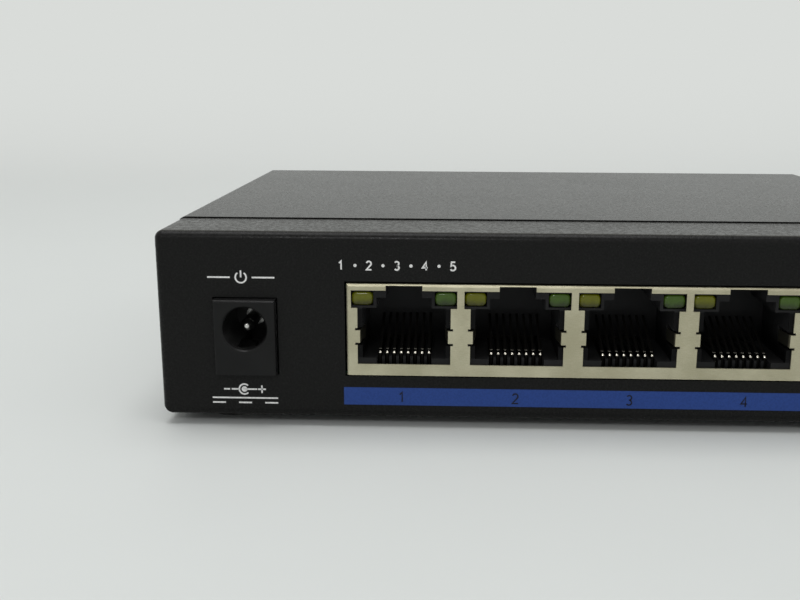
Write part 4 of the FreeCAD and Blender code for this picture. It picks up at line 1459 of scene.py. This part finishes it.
@dataclass(frozen=True)
class Lamp:
    """A soft square lamp that faces the object: its place and side in metres, and its watts."""

    name: str
    place: Point
    side: float
    power: float

    def hang(self) -> None:
        """Put the lamp in the scene."""
        data = bpy.data.lights.new(self.name, "AREA")
        data.shape = "SQUARE"
        data.size = self.side
        data.energy = self.power
        lamp = add_object(self.name, data)
        lamp.location = self.place
        lamp.rotation_euler = (-Vector(self.place)).to_track_quat("-Z", "Y").to_euler()


OVERHEAD = Lamp("overhead", (-0.06, -0.01, 0.75), 0.5, 2.9)
KEY = Lamp("key", (-0.10, -0.65, 0.45), 0.12, 0.8)


@dataclass
class Studio:
    """Floor, soft light and the camera that matches the photograph."""

    camera_place: Point = (-16.68 * MM, -177.62 * MM, 50.53 * MM)
    pitch: float = math.radians(13.0604)
    yaw: float = math.radians(1.6646)
    roll: float = math.radians(0.2861)
    lens: float = 43.915
    sensor: float = 36.0
    shift: float = -0.03505
    clip_start: float = 5 * MM
    floor_half: float = 1.8
    floor_front: float = -1.6
    bend_start: float = 0.35
    bend_radius: float = 0.35
    bend_steps: int = 16
    wall_height: float = 1.2
    world_light: Span = (0.42, 0.60)
    world_turn: Span = (-0.5, 0.5)
    world_seen: float = 0.70

    def build(self) -> None:
        """Make everything that isn't part of the object."""
        self.floor()
        self.world()
        for lamp in (OVERHEAD, KEY):
            lamp.hang()
        self.camera()

    def floor(self) -> None:
        """A sweep of pale paper: floor, bend and wall."""
        profile = [(self.floor_front, 0.0)]
        for step in range(self.bend_steps + 1):
            angle = math.pi / 2 * step / self.bend_steps
            profile.append((self.bend_start + self.bend_radius * math.sin(angle),
                            self.bend_radius * (1 - math.cos(angle))))
        profile.append((self.bend_start + self.bend_radius, self.wall_height))
        shape = bmesh.new()
        sides = (-self.floor_half, self.floor_half)
        rows = [[shape.verts.new((side, along, up)) for side in sides] for along, up in profile]
        for near, far in zip(rows, rows[1:]):
            shape.faces.new((*near, *reversed(far)))
        smooth(shape)
        sweep = from_bmesh("paper_sweep", shape)
        paint(sweep.data, PAPER)

    def world(self) -> None:
        """Soft light from all around, weaker from the front, and pale where it is seen."""
        world = bpy.data.worlds.new("studio")
        world.use_nodes = True
        graph = ShaderGraph(world.node_tree)
        heading = graph.node("ShaderNodeTexCoord", output="Generated")
        along = graph.node("ShaderNodeSeparateXYZ", None, {0: heading}, "Y")
        light = along.ramp(self.world_turn).over(self.world_light)
        seen = graph.seen()
        level = light * (1.0 - seen) + self.world_seen * seen
        sky = graph.node("ShaderNodeBackground", None, {"Color": WHITE, "Strength": level})
        graph.close(sky, "ShaderNodeOutputWorld")
        bpy.context.scene.world = world

    def camera(self) -> None:
        """The camera that was fitted to the photograph."""
        data = bpy.data.cameras.new("camera")
        data.sensor_fit = "HORIZONTAL"
        data.sensor_width = self.sensor
        data.lens = self.lens
        data.shift_x = self.shift
        data.clip_start = self.clip_start
        level = Vector((math.cos(self.yaw), math.sin(self.yaw), 0.0))
        ahead = Vector((-math.sin(self.yaw), math.cos(self.yaw), 0.0)) * math.cos(self.pitch)
        forward = ahead - Vector((0.0, 0.0, math.sin(self.pitch)))
        upright = level.cross(forward)
        right = math.cos(self.roll) * level + math.sin(self.roll) * upright
        up = math.cos(self.roll) * upright - math.sin(self.roll) * level
        turn = Matrix((right, up, -forward)).transposed().to_4x4()
        camera = add_object("camera", data)
        camera.matrix_world = Matrix.Translation(self.camera_place) @ turn
        bpy.context.scene.camera = camera


def main() -> None:
    """Build the switch and its studio in order."""
    logging.basicConfig(level=logging.INFO, format="%(message)s")
    bpy.context.scene.view_settings.view_transform = "Standard"
    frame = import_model()
    case = SheetCase(frame)
    case.build()
    PortBlock(frame).build()
    PowerInlet(frame).build()
    Fasteners(frame).build()
    BoardAssembly(frame).build()
    FrontPrint(case.front()).build()
    Studio().build()


if __name__ == "__main__":
    main()
